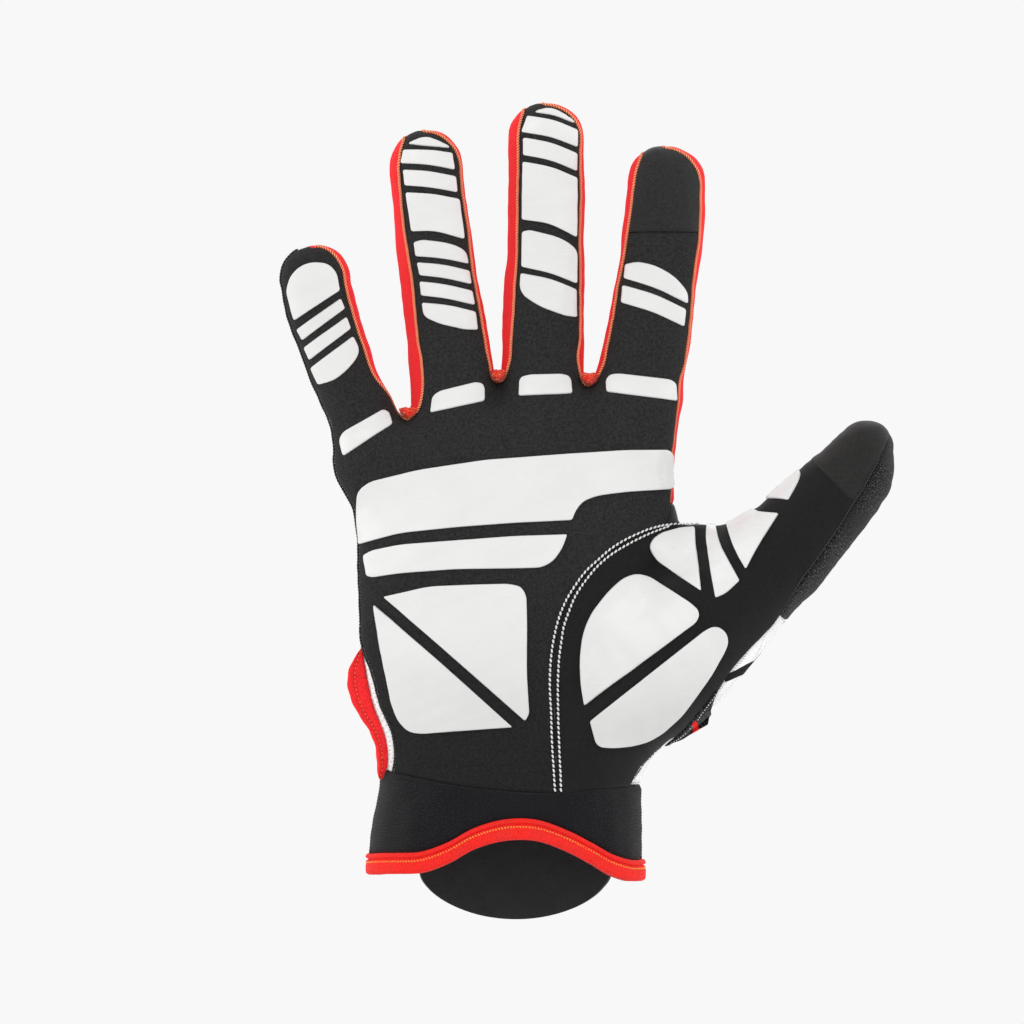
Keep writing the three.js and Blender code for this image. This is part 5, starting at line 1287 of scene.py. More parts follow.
# the red cloth turned under at the little finger's tip, which closes the seam between the strip and the mesh
tipSeam = {"places": [-1.2, 0.6, 2.4], "sunk": 0.3, "thick": 0.6, "drawIn": 0, "edgeFall": 0.1,
           "edgeReach": 0.5}
tipEnd = strips["fourchette_pinky_ring"][:2]
onward = unit(tipEnd[0] - tipEnd[1])
fineSeam = refineBoth(settle(tipEnd[:1] + onward * np.array(tipSeam["places"])[:, None, None]), 4, 4)
points, faces = wholeGrid(fineSeam)
points, faces, flat = closedWall(settle(points, 3), faces, tipSeam, -tipSeam["sunk"])
makePiece("little_tip_seam", points, faces, np.concatenate([gridUv(fineSeam)] * 2), materials["redCloth"],
          flat=flat)

addCloth("web_gusset", wholeGrid(refineBoth(webGrid(), 20, 8)), "touchCloth", "black_cloth")

back, backBlocks = backGrids(gusset)
parts = fineness["back"]
fineBack = refineBoth(back, parts, parts, (6, 10, len(back) - 1), (4, 8, 12))
sheet = joinBlocks(fineBack, [refineBoth(block, parts, parts) for block in backBlocks])
addCloth("back_panel", sheet, "whiteMesh", "white_mesh", uv=backUv(sheet[0]))

# the knitted cuff, its binding and the pull tab

cuffWall = {"thick": 1.3, "drawIn": 0.1, "edgeFall": 0.4, "edgeReach": 1.2}
cuffFineness = 8
cuffBackEnd = -1.4
addStrip("cuff_palm", refineBoth(wristGrid(-1, bindingTopAt, cuffTopAt, 2), 12, cuffFineness), "cuffKnit",
         "knit", cuffWall)
addStrip("cuff_back", refineBoth(wristGrid(1, lambda x: cuffBackEnd + 0 * x, cuffTopAt, 2), 16, cuffFineness),
         "cuffKnit", "knit", cuffWall)

binding = {"width": 6.0, "outside": 1.25, "inside": -1.9, "groove": 0.27, "grooveWide": 0.045,
           "grooveDeep": 0.85, "line": 0.41, "lineWide": 0.075, "lineDeep": 0.4, "rows": 32, "columns": 14,
           "pucker": 0.05, "parts": 9, "round": 0.16, "least": 0.25}


# the binding's section: rounded at both edges, with a crease near the top and a stitched hollow below it
def bindingHeight(share):
    edge = np.minimum(share, 1 - share) / binding["round"]
    roundness = np.sqrt(1 - (1 - np.clip(edge, 0.02, 1)) ** 2)
    groove = np.exp(-((share - (1 - binding["groove"])) / binding["grooveWide"]) ** 2)
    line = np.exp(-((share - (1 - binding["line"])) / binding["lineWide"]) ** 2)
    return (binding["outside"] * mix(binding["least"], 1, roundness) - binding["grooveDeep"] * groove
            - binding["lineDeep"] * line)


def makeBinding():
    coarse = wristGrid(-1, lambda x: bindingTopAt(x) - binding["width"], bindingTopAt, 1, binding["columns"])
    grid = settle(refineBoth(coarse, binding["rows"], binding["parts"]), 4)
    rows, columns = grid.shape[:2]
    normals = outward(grid)
    share = np.arange(rows) / (rows - 1)
    along = np.cumsum(np.concatenate([[0], np.linalg.norm(np.diff(grid[0], axis=0), axis=1)]))
    pucker = np.sin(along * 2.1 + 0.6 * np.sin(along * 0.9))[None] * np.sin(share * math.pi)[:, None]
    height = bindingHeight(share)[:, None] + binding["pucker"] * pucker + ruffle(grid) * 0.5
    loop = np.concatenate([grid + normals * height[..., None], (grid + normals * binding["inside"])[::-1]])
    index = countUp(2 * rows, columns)
    front, behind = index[:rows], index[:rows:-1]
    before = np.concatenate([behind[:1], behind[:-1]])
    ends = [np.stack([front[:-1, k], front[1:, k], behind[:, k], before[:, k]], axis=1) for k in (0, -1)]
    faces = np.concatenate([gridFaces(np.concatenate([index, index[:1]])), ends[0], ends[1][:, ::-1]])
    uv = np.stack(np.broadcast_arrays(along, np.arange(2 * rows)[:, None] * 0.25), axis=-1)
    flat = np.arange(len(faces)) >= len(faces) - 2 * (rows - 1)
    makePiece("cuff_binding_tape", loop.reshape(-1, 3), faces, uv.reshape(-1, 2), materials["redTape"],
              "cuff_binding", "red_tape", flat)
    return grid[int(round((1 - binding["line"]) * (rows - 1)))]


bindingLine = makeBinding()

pullTab = {"middle": 2.6, "half": 28.8, "top": 16, "straight": -1.4, "drop": 14.0, "columns": 14, "rows": 4,
           "outside": -1.7, "fineness": (10, 6),
           "wall": {"thick": 1.3, "drawIn": 0.05, "edgeFall": 0.25, "edgeReach": 0.8}}


def makePullTab():
    share = np.sin(np.radians(mix(-90.0, 90.0, np.arange(pullTab["columns"] + 1) / pullTab["columns"])))
    low = pullTab["straight"] - pullTab["drop"] * np.maximum(1 - share * share, 0) ** 0.62
    z = mix(low, pullTab["top"], (np.arange(pullTab["rows"] + 1) / pullTab["rows"])[:, None])
    grid = touch(pullTab["middle"] + pullTab["half"] * share, z, 1)
    addStrip("pull_tab", refineBoth(grid, *pullTab["fineness"]), "tabCloth", "tab_cloth", pullTab["wall"],
             pullTab["outside"])


makePullTab()

# the folded tape at the little-finger side of the wrist: outer and inner edge and depth at rising heights
sideTab = tabulate("height outer inner depth", [
    [25.7, -36.5, -36.4, -9], [28.5, -36.7, -36.3, -9.4], [30.8, -36.9, -36.2, -9.6],
    [33.6, -37.1, -35.8, -9.6], [36.5, -37.9, -36, -9.2], [39.3, -39.2, -36.7, -8.6],
    [42.2, -41.1, -37.7, -7.4], [45, -42.9, -38.7, -6.5], [47.9, -44.3, -39.5, -5.6],
    [50.7, -45.2, -40, -5], [53.6, -45.5, -40.6, -4.3], [56.4, -45.1, -40.8, -3.8],
    [59.3, -43.9, -41, -3.4], [62.8, -41.5, -40.9, -3],
])
tape = {"thick": 2.0, "rows": 120, "stitchAt": 0.6, "end": 0.45, "onCuff": 0.7, "lift": 0.15,
        "cuffTop": 29.5, "cuffFade": 3, "taper": 1.5, "fullReach": 2.5, "wave": 0.1, "stitchRise": 0.9}
tapeSection = np.reshape([0, -1, 0.2, -1, 0.36, -1.04, 0.5, -1.02, 0.55, -0.92, tape["stitchAt"], -0.8, 0.65,
                          -0.92, 0.7, -1, 0.8, -1.04, 0.92, -0.92, 0.98, -0.6, 1, 0, 0.98, 0.6, 0.92, 0.92,
                          0.8, 1.04, 0.69, 1, 0.5, 1, 0.25, 1, 0, 1, -0.05, 0], (-1, 2))


def makeSideTab():
    height = mix(sideTab["height"][0], sideTab["height"][-1], np.arange(tape["rows"] + 1) / tape["rows"])
    outer, inner, depth = readColumns(sideTab, ["outer", "inner", "depth"], height)
    root = settleAt(inner, depth, height)
    onCuff = tape["onCuff"] * np.clip((tape["cuffTop"] - height) / tape["cuffFade"], 0, 1)
    root += outward(root) * (tape["lift"] + onCuff)[:, None]
    tip = np.stack([np.minimum(outer, root[:, 0] - tape["end"]), depth, height], axis=1)
    reach = tip - root
    side = unit(np.cross([0, 0, 1.0], reach))
    taper = np.sqrt(np.clip(np.minimum(height - height[0], height[-1] - height) / tape["taper"], 0.05, 1))
    half = tape["thick"] / 2 * taper * np.clip(np.linalg.norm(reach, axis=1) / tape["fullReach"], 0.3, 1)
    ring = (root[:, None] + reach[:, None] * tapeSection[None, :, :1]
            - side[:, None] * tapeSection[None, :, 1:] * half[:, None, None])
    ring[..., 0] += (tape["wave"] * np.sin(height * 1.3))[:, None] * tapeSection[None, :, 0]
    uv = np.stack(np.broadcast_arrays(np.arange(1, len(tapeSection) + 1) * 0.5, height[:, None]), axis=-1)
    uv = np.concatenate([uv.reshape(-1, 2), [[0, height[0]], [0, height[-1]]]])
    makePiece("side_tab_tape", *closedTube(ring, ring[0].mean(axis=0), ring[-1].mean(axis=0)), uv,
              materials["sideTape"], "side_tab", "red_tape")
    return root + reach * tape["stitchAt"] + side * (half * tape["stitchRise"])[:, None]


tabLine = makeSideTab()

# the charcoal wedge beside the heel of the thumb, a three-cornered flap: its seam along the black cloth, its
# outer edge, how far it wraps behind and how far it stands out
wedge = tabulate("seamX seamZ outX outZ wrap push", [
    [45, 34.9, 45.7, 34.6, 0.3, 0.1], [47.1, 36.9, 48.6, 36, 2, 0.5], [49.2, 38.9, 51.5, 37.8, 4, 1],
    [51.2, 41, 54.3, 39.6, 4.8, 1.7], [52.8, 42.9, 56.6, 41.3, 4, 2.3], [54.2, 44.5, 56.7, 43.5, 2, 1.3],
    [55.9, 46.4, 57.3, 46, 0.8, 0.5], [57.6, 48.6, 58.4, 48.5, 0.4, 0.1], [59.2, 51, 59.5, 51.1, 0.2, 0],
])
flap = {"rise": 0.7, "parts": 6, "outline": 24, "steps": [0.4, 1.0], "in": 0.3, "back": 0.9, "forward": 0.35,
        "curve": 1.5, "inside": 0.9,
        "wall": {"thick": 0.9, "drawIn": 0.05, "edgeFall": 0.3, "edgeReach": 0.8}}
bar = {"row": 20.5, "lean": 0.27, "wide": 4.0, "columns": (1, 27), "rise": 0.08,
       "wall": {"thick": 0.3, "drawIn": 0.0, "edgeFall": 0.0, "edgeReach": 1.0}}


def wedgeGrid():
    shares = np.arange(5)[None] / 4
    front = touch(mix(wedge["seamX"][:, None], wedge["outX"][:, None], shares),
                  mix(wedge["seamZ"][:, None], wedge["outZ"][:, None], shares), -1)
    steps = wedge["wrap"][:, None] * np.array([flap["steps"]])
    behind = np.repeat(front[:, -1:], 2, axis=1)
    behind = behind + np.stack([-outerLean[0] * steps * flap["in"], flap["back"] * steps,
                                -outerLean[1] * steps * flap["in"]], axis=-1)
    return np.concatenate([front, settle(behind)], axis=1)


def makeWedge():
    fine = settle(refineBoth(wedgeGrid(), flap["parts"], flap["parts"]))
    points, faces = wholeGrid(fine)
    corners, allFaces, flat = closedWall(points, faces, flap["wall"], flap["rise"])
    rows, columns = fine.shape[:2]
    push = np.interp(np.arange(rows) / flap["parts"], np.arange(len(wedge["push"])), wedge["push"])
    across = np.clip(np.arange(columns) / flap["outline"], 0, 1) ** flap["curve"]
    toward = np.array([outerLean[0], -flap["forward"], outerLean[1]])
    out = (toward * (push[:, None] * across)[..., None]).reshape(-1, 3)
    corners = corners + np.concatenate([out, out * flap["inside"]])
    uv = planeUv(points)
    makePiece("side_wedge_cloth", corners, allFaces, np.concatenate([uv, uv]), materials["heather"],
              "side_wedge", "heather_cloth", flat)
    return corners[:len(points)].reshape(rows, columns, 3)


wedgeFront = makeWedge()


# a red bar across the flap: a slanting part of its front, raised a little
def makeBar():
    columns = np.arange(*bar["columns"])
    rows = bar["row"] - columns * bar["lean"] + np.arange(6)[:, None] * bar["wide"] / 5
    low = np.floor(rows).astype(int)
    grid = mix(wedgeFront[low, columns], wedgeFront[low + 1, columns], (rows - low)[..., None])
    points, faces = wholeGrid(grid)
    corners, allFaces, flat = closedWall(points, faces, bar["wall"], bar["rise"], 0)
    makePiece("wedge_bar_print", corners, allFaces, planeUv(corners), materials["redInk"], flat=flat)


makeBar()
print("cuff, tapes and wedge made")

# the silicone grips: outlines in (x, z), rounded at their corners

grips = {"height": 0.55, "edge": 0.42, "sunk": 0.35, "spacing": 0.36, "knot": 0.9, "sharpCut": 0.6,
         "curveCut": 3.0, "ring": 1.3, "bridgedOver": 4.5, "even": 7.0, "lift": 1.0, "tight": 2.0,
         "sharpTurn": 0.45, "mostCut": 0.48, "arc": 9, "core": 0.92, "rim": [0, 0.05, 0.12, 0.22, 0.34, 0.5],
         "rimWide": 1.4, "rings": (3, 14), "near": 0.02}
padOutlines = {
    "pinky_tip_pad": [
        -60.4, 155.9, -47.5, 164.4, -48.4, 169.3, -50.9, 172, -55.3, 172.4, -59, 171, -61.6, 167.9, -62.6,
        164.7, -62.1, 161.9],
    "pinky_pad_1": [-58.3, 150.2, -46, 159.3, -47.2, 162.2, -59.8, 153.4],
    "pinky_pad_2": [-56.3, 144.6, -44.3, 153.6, -45.5, 157, -57.9, 148.2],
    "pinky_pad_3": [-53.6, 137.7, -49, 138.9, -44.6, 142.6, -41.7, 146.9, -43.7, 151.5, -55.9, 142.5],
    "ring_tip_pad": [-28, 205.8, -16.2, 204.7, -18.8, 206.6, -22.5, 207.7, -24.8, 207.5],
    "ring_pad_1": [-30.2, 200.4, -22.5, 200, -15.1, 198.6, -15.7, 203.3, -22.5, 204.3, -29.4, 204.2],
    "ring_pad_2": [-29.1, 194.1, -22, 193.6, -14.2, 192.2, -14.7, 196.8, -22.2, 198.2, -29.6, 198.6],
    "ring_pad_3": [-27.1, 181.1, -20.5, 181.3, -12.3, 179, -13.7, 190.4, -21.3, 191.8, -28.8, 192.2],
    "ring_pad_4": [
        -25.9, 174.1, -18.3, 173.5, -11.1, 172, -11.7, 175.6, -14.5, 177.2, -18.1, 178.1, -24.2, 178.8,
        -26.5, 178.1],
    "ring_pad_5": [-24.9, 168.7, -17.5, 167.9, -10.4, 166.2, -10.8, 170.1, -18, 171.8, -25.6, 172.4],
    "ring_pad_6": [-24.5, 163, -17, 162.1, -9.4, 160.3, -10.1, 164.4, -17.5, 166.2, -24.9, 167],
    "ring_pad_7": [-23.7, 157.1, -19.4, 155, -12, 153.3, -8.3, 153.3, -9.1, 158.5, -16.5, 160.3, -24.2, 161],
    "middle_tip_pad": [7.8, 214.8, 13.6, 213.9, 19.2, 211.7, 17.1, 213.8, 13.7, 215.6, 10.8, 215.9],
    "middle_pad_1": [4.1, 209.2, 12.5, 207.8, 19.8, 205, 19.8, 209.9, 13.5, 212.6, 5.7, 213.8],
    "middle_pad_2": [4.5, 202.7, 12.5, 201.2, 19.8, 198.2, 19.8, 203.3, 12.8, 206.2, 4.6, 207.7],
    "middle_pad_3": [4.3, 184.5, 12, 183.4, 19.8, 179.5, 19.8, 196.4, 12.7, 199.4, 4.4, 200.9],
    "middle_pad_4": [
        4, 171.1, 12.1, 169.4, 19.8, 166.4, 19.8, 176, 17, 178.3, 13.7, 179.8, 6.3, 181.6, 4.3, 181.1],
    "middle_pad_5": [3.6, 163.7, 9.1, 159.9, 16.5, 157.2, 19.8, 156.9, 19.8, 164.8, 12.3, 167.8, 3.8, 169.4],
    "index_pad_1": [
        33.3, 167.9, 42.6, 164.9, 51.2, 160.7, 51.2, 164.2, 47.6, 168.4, 41.9, 171.6, 36.8, 172.6, 33.6,
        171.9],
    "index_pad_2": [32.5, 161, 41.6, 158.2, 50.2, 154.2, 50.7, 159.2, 42.3, 163.2, 33, 166],
    "pinky_knuckle_pad": [-46.5, 117.4, -32.5, 126.7, -33.6, 130, -35.2, 130.8, -46.5, 124.3, -47.8, 122],
    "ring_knuckle_pad": [
        -21.8, 129.7, -6.4, 133.1, -6.4, 136.8, -7, 138.1, -8.8, 138.5, -19.2, 135.9, -21.2, 134.3],
    "middle_knuckle_pad": [
        3.3, 134.5, 18.5, 135.2, 18.2, 139, 17.4, 140.3, 15.4, 140.8, 6.3, 140.6, 4.1, 140, 3.4, 138.9],
    "index_knuckle_pad": [
        28.2, 135.7, 48.2, 133.1, 48.1, 138.1, 46.5, 139.2, 31.6, 140.9, 29.3, 140.6, 28.2, 138.9],
    "palm_band": [
        -42.3, 92.3, -30.5, 95.5, -14.5, 97.2, 1.7, 98.4, 18.4, 99.2, 19.7, 102.3, 21.7, 104.6, 25.6, 106.1,
        33.6, 107.2, 46.5, 108, 47.6, 109.2, 47.2, 118, 45.9, 119.2, 33.6, 119.1, 17.7, 118.1, -6.4, 116.3,
        -25.6, 113.4, -39.3, 110, -42.5, 107.4, -42.9, 101],
    "palm_strip": [
        -40, 83.4, -38.5, 82.9, -30.5, 84.1, -14.5, 85.3, 1.7, 85.5, 9.7, 85.7, 13.1, 87.5, 15.7, 91.2,
        17.1, 95.2, 1.7, 94.7, -14.5, 93.5, -30.5, 92.3, -38.5, 90.6, -40.8, 89.2],
    "heel_pad_upper": [
        -35.2, 77.4, -15.6, 60.4, 5.1, 42.2, 6.3, 44.2, 5.6, 56.1, 5.7, 69.8, 5.5, 77.8, 4, 80.4, 0.3, 81.2,
        -11.1, 80.9, -22.2, 80.4],
    "heel_pad_lower": [
        -37.9, 75.2, -36.8, 67, -34.8, 56.1, -32.8, 46.6, -30.5, 41.6, -27.9, 39, -24.2, 38.5, -14.8, 39.3,
        1.6, 40.5, -18.6, 58.6],
    "thenar_pad_upper": [
        21.8, 46.6, 37.4, 58.2, 53.5, 70.2, 54.4, 72.1, 54.1, 73.8, 52, 75.8, 40.5, 83.2, 36.8, 84.1, 33.1,
        82.9, 28.8, 79.2, 23.7, 72.7, 21.4, 67, 20.5, 59.6, 20.8, 52.4],
    "thenar_pad_lower": [
        23.4, 42.2, 25.1, 35.9, 26.5, 34.8, 30.9, 34.5, 36.8, 35.3, 43.3, 37.9, 49, 43, 55.6, 51.6, 61.6,
        61.8, 62.7, 64.7, 62.1, 67.3, 60, 69, 57.9, 69, 55.6, 67.7, 40, 55.4],
    "thumb_pad_1": [
        40.2, 91.5, 42.2, 87.9, 49.3, 82.9, 55, 79.1, 54.3, 86.4, 53.5, 92.9, 53.4, 97, 48.7, 96.9, 44.2,
        95.9, 41.3, 93.9],
    "thumb_pad_2": [
        56.4, 94, 57.6, 84.9, 58.9, 77.2, 61.8, 78.4, 65.8, 82.1, 63.2, 86.9, 60.1, 92.9, 59.2, 98.3, 56.6,
        98.1],
    "thumb_pad_3": [
        63.2, 94, 65.1, 89.5, 67.5, 85.3, 70.4, 90.9, 73.5, 96, 76.9, 101.2, 71, 101.6, 69.4, 102.6, 65.2,
        100.2, 62, 98.8],
    "thumb_pad_4": [
        73.2, 105.2, 76.9, 105.4, 79.6, 104.9, 82.6, 110.6, 83.1, 112.6, 82.4, 114.4, 77.4, 110.4],
}


# corners cut back and rounded: sharp ones a little, the others as far as the next corners allow
def filletOutline(corners):
    corners = np.reshape(corners, (-1, 2))
    before, after = np.roll(corners, 1, axis=0) - corners, np.roll(corners, -1, axis=0) - corners
    lengthBefore, lengthAfter = np.linalg.norm(before, axis=1), np.linalg.norm(after, axis=1)
    before, after = before / lengthBefore[:, None], after / lengthAfter[:, None]
    cut = np.where((-before * after).sum(axis=1) < grips["sharpTurn"], grips["sharpCut"], grips["curveCut"])
    cut = np.minimum(cut, grips["mostCut"] * np.minimum(lengthBefore, lengthAfter))[:, None, None]
    t = np.linspace(0, 1, grips["arc"])[None, :, None]
    middle = corners[:, None]
    start, end = middle + before[:, None] * cut, middle + after[:, None] * cut
    return (start * (1 - t) ** 2 + middle * 2 * t * (1 - t) + end * t * t).reshape(-1, 2)


# rings from the outline in to a line of knots through the middle of the shape
def fillOutline(corners, spacing):
    outline = filletOutline(corners)
    outline = resampleLine(np.concatenate([outline, outline[:1]]), spacing)[:-1]
    middle = outline.mean(axis=0)
    axes = np.linalg.svd(outline - middle, full_matrices=False)[2]
    places = (outline - middle) @ axes.T
    low, high = places.min(axis=0), places.max(axis=0)
    half = max(((high - low)[0] - (high - low)[1]) / 2 * grips["core"], 0)
    knots = max(int(half * 2 / grips["knot"]), 0)
    step = half * 2 / max(knots, 1)
    start = (low[0] + high[0]) / 2 - half

    def onLine(along):
        return middle + np.stack([along, np.full(len(along), (low[1] + high[1]) / 2)], axis=1) @ axes

    knot = np.clip(np.round((places[:, 0] - start) / max(step, 1e-6)), 0, knots).astype(int)
    toward = onLine(np.clip(places[:, 0], start, start + half * 2))
    reach = np.linalg.norm(toward - outline, axis=1)
    edge = np.array(grips["rim"])[:, None] * np.minimum(1, reach / grips["rimWide"]) / reach
    inner = int(np.clip(np.ceil(reach.max() / grips["ring"]), *grips["rings"]))
    shares = np.concatenate([edge, mix(edge[-1:], 1, (np.arange(1, inner) / inner)[:, None])])
    rings = outline[None] + (toward - outline)[None] * shares[..., None]
    index = countUp(*rings.shape[:2])
    knotIndex = index.size + np.append(knot, knot[0])
    faces = gridFaces(np.concatenate([np.concatenate([index, index[:, :1]], axis=1), knotIndex[None]]))
    points = np.concatenate([rings.reshape(-1, 2), onLine(start + np.arange(knots + 1) * step)])
    return points, faces, outline, knotIndex[:-1]


# a big pad bridges creases of the body: its edge is evened out along its length, and inside it each height is
# the mean of the edge heights weighed by their nearness, wherever that stands out from the body
def bridged(flat, placed, outline):
    count, reach = len(outline), int(grips["even"] / grips["spacing"])
    edge = placed[:count, 1]
    around = np.concatenate([edge[-reach:], edge, edge[:reach]])
    even = np.convolve(around, np.ones(2 * reach + 1) / (2 * reach + 1), "valid")
    edge = np.clip(even, edge - grips["lift"], edge)
    weight = 1 / (((flat[:, None] - outline[None]) ** 2).sum(axis=2) + grips["near"])
    result = placed.copy()
    result[:, 1] = smoothMin(placed[:, 1], weight @ edge / weight.sum(axis=1), grips["tight"])
    result[:count, 1] = edge
    return result


# one grip: a cushioned top whose edge rounds off, and a flat underside sunk into the cloth
def padParts(flat, faces, outline, knotIndex, placed, shape):
    inward = distanceTo(flat, outline)
    bulge = shape["height"] * np.sqrt(1 - (1 - np.minimum(inward / shape["edge"], 1)) ** 2)
    normals = outward(placed)
    ground = bridged(flat, placed, outline) if inward.max() > grips["bridgedOver"] else placed
    top = ground + normals * (ruffle(placed) + bulge)[:, None]
    under = placed + normals * (ruffle(placed) - grips["sunk"])[:, None]
    count = len(placed)
    around, knots = np.append(np.arange(len(outline)), 0), np.append(knotIndex, knotIndex[0])
    walls = np.stack([around[1:], around[:-1], around[:-1] + count, around[1:] + count], axis=1)
    floor = np.stack([around[1:], around[:-1], knots[:-1], knots[1:]], axis=1) + count
    used = np.concatenate([faces, walls, floor])
    keep = np.unique(used)
    place = np.zeros(count * 2, np.int64)
    place[keep] = np.arange(len(keep))
    return np.concatenate([top, under])[keep], place[used], np.concatenate([flat, flat])[keep]


def makePads():
    filled = {name: fillOutline(corners, grips["spacing"]) for name, corners in padOutlines.items()}
    placed = touch(*np.concatenate([parts[0] for parts in filled.values()]).T, -1)
    at = 0
    for name, parts in filled.items():
        own = placed[at:at + len(parts[0])]
        at += len(own)
        makePiece(name + "_grip", *padParts(*parts, own, grips), materials["silicone"], name, "silicone")


makePads()
print("grips made")

# threads: the overlocked seams, the double row beside the thumb, the binding's and the tab's stitching

rope = {"step": 0.16, "sides": 8, "wide": 0.4, "tall": 0.38, "ridge": 0.2, "pitch": 0.8}
darkRope = {"step": 0.25, "sides": 6, "wide": 0.32, "tall": 0.3, "ridge": 0.2, "pitch": 0.9}
fineRope = {"step": 0.3, "sides": 6, "wide": 0.2, "tall": 0.18, "ridge": 0.15, "pitch": 0.8}
seamStitch = {"pitch": 1.36, "long": 1.2, "wide": 0.58, "tall": 0.5, "slant": -19, "rise": 0.3}
bindingStitch = {"pitch": 0.86, "long": 0.8, "wide": 0.5, "tall": 0.42, "slant": 36, "rise": 0.95}
tabStitch = {"pitch": 1.25, "long": 0.8, "wide": 0.26, "tall": 0.3, "slant": 0}
edgeStitch = {"pitch": 0.5, "long": 0.75, "wide": 0.34, "tall": 0.26, "slant": 80, "rise": -0.05,
              "leftOut": 0.3, "seed": 0}
wedgeStitch = {"pitch": 1.0, "long": 0.5, "wide": 0.26, "tall": 0.26, "slant": 0, "rise": 0.9,
               "leftOut": 0.12, "seed": 9}
whiteEdgeStitch = {"pitch": 0.85, "long": 0.55, "wide": 0.36, "tall": 0.3, "slant": 0, "rise": 0.1,
                   "leftOut": 0.2, "seed": 5}

seamRows = [
    [54, 98, 50.2, 97.9, 46.4, 98, 41.3, 97, 35.6, 94.7, 29.6, 91.2, 25.6, 87.8, 22.5, 84.9, 19.1, 80.4,
     16.7, 76.4, 14.8, 71.8, 13.4, 66.4, 12.5, 60.7, 12.1, 53.6, 12.5, 43.6, 12.8, 35.1, 13.5, 22.8],
    [45.8, 97.4, 39.9, 95.2, 34.2, 92.3, 29.6, 89.5, 25.6, 86.1, 22.5, 82.4, 19.4, 77.8, 17.6, 73.5, 16.1,
     69.1, 15.4, 65, 14.8, 60.7, 14.4, 53.6, 14.5, 43.6, 14.8, 35.1, 15.2, 22.8],
]


def pathOn(places):
    return touch(*refineLine(np.reshape(places, (-1, 2)), 8).T, -1)


# leaves out a share of the stitches, by a fixed random draw
def raggedKeep(leftOut, seed):
    return lambda numbers: np.random.default_rng(seed).random(len(numbers)) > leftOut


# stitches along the folded tape, off the body: small capsules straight along their line
def tabStitchParts(line):
    places = resampleLine(line, tabStitch["pitch"])
    along = unit(np.gradient(places, axis=0))
    across = unit(np.cross(along, [0, -1.0, 0]))
    return capsules(places, along, across, unit(np.cross(across, along)), tabStitch)


# one thread from the little finger's tip down and up every finger to the web: the strips' seams, joined
def fingerSeam():
    lines = [grid[:, 0] for grid in strips.values()]
    joined = [lines[0]]
    for line in lines[1:]:
        joined[-1] = np.concatenate([joined[-1][:-1], (joined[-1][-1:] + line[:1]) / 2])
        joined.append(line[1:])
    return refineLine(np.concatenate(joined), 8)


# the thread is thinner on the outline and where the last strip narrows toward the web
thinning = {"rightOf": 44, "heights": [104, 108, 128, 137], "shares": [0.35, 0.6, 0.65, 1], "steep": 1.6}


def thinRope(path, normals):
    byWeb = np.interp(path[:, 2], thinning["heights"], thinning["shares"])
    onOutline = np.clip(0.5 - normals[:, 1] * thinning["steep"], 0.5, 1)
    return np.where(path[:, 0] > thinning["rightOf"], byWeb, 1) * onOutline


def cuffSideLine(side, end):
    heights = np.arange(-1, cuffSeam["z"][end], 1.5)
    edge = readColumn(palmSections, side, heights)
    return settleAt(edge + np.sign(edge) * wristOut, 0.0, heights)


# bunches of drawn-in cloth at the crotches: lumps crumpled by sines, with a dimple on top
bunches = {"pinky_ring_bunch": (-27.9, -3.6, 129.9, 2.5, 4.6, 1.9),
           "ring_middle_bunch": (-2.4, -4.2, 140.6, 2.1, 4.6, 2.0),
           "middle_index_bunch": (23.5, -4.2, 139.6, 2.3, 4.6, 2.1)}
bunchShape = {"rings": 26, "around": 36, "crumple": 0.13, "dimple": 0.35, "widening": 0.4}


def bunchParts(x, y, z, wide, deep, tall):
    turn = np.arange(bunchShape["rings"] + 1)[:, None] / bunchShape["rings"] * np.pi
    angle = np.arange(bunchShape["around"])[None] / bunchShape["around"] * 2 * np.pi
    radial, high = np.sin(turn) * np.ones_like(angle), np.cos(turn) * np.ones_like(angle)
    wave = (np.sin(angle * 5 + high * 3 + x) * np.sin(high * 6 + x * 0.7)
            + 0.6 * np.sin(angle * 9 - high * 7 + x * 2) * np.sin(turn * 4)) * np.sin(turn)
    size = 1 + bunchShape["crumple"] * wave
    dimple = np.exp(-(radial * np.cos(angle + 0.6) / 0.5) ** 2) * np.maximum(high, 0)
    grid = np.stack([x + wide * radial * np.cos(angle) * size * (1 + bunchShape["widening"] * high),
                     y + deep * radial * np.sin(angle) * size,
                     z + tall * (high - bunchShape["dimple"] * dimple) * size], axis=-1)
    points, faces = closedTube(grid[1:-1], grid[0, 0], grid[-1, 0])
    return points, faces, np.stack([points[:, 0] + points[:, 1] * 0.5, points[:, 2]], axis=1)


# a plain tapered stripe printed on the mesh
stripe = {"corners": [61.6, 53.3, 66.0, 54.8, 69.2, 56.0, 74.2, 60.5, 68.6, 58.5, 62.2, 55.2], "rise": 0.02,
          "height": 0.06, "edge": 0.3, "spacing": 0.25}


def stripeParts():
    flat, *rest = fillOutline(stripe["corners"], stripe["spacing"])
    placed = touch(*flat.T, -1)
    return padParts(flat, *rest, placed + outward(placed) * stripe["rise"], stripe)


def stitchLines(lines, stitch):
    return joinParts([stitchParts(line, stitch, raggedKeep(stitch["leftOut"], stitch["seed"] + k))
                      for k, line in enumerate(lines)])


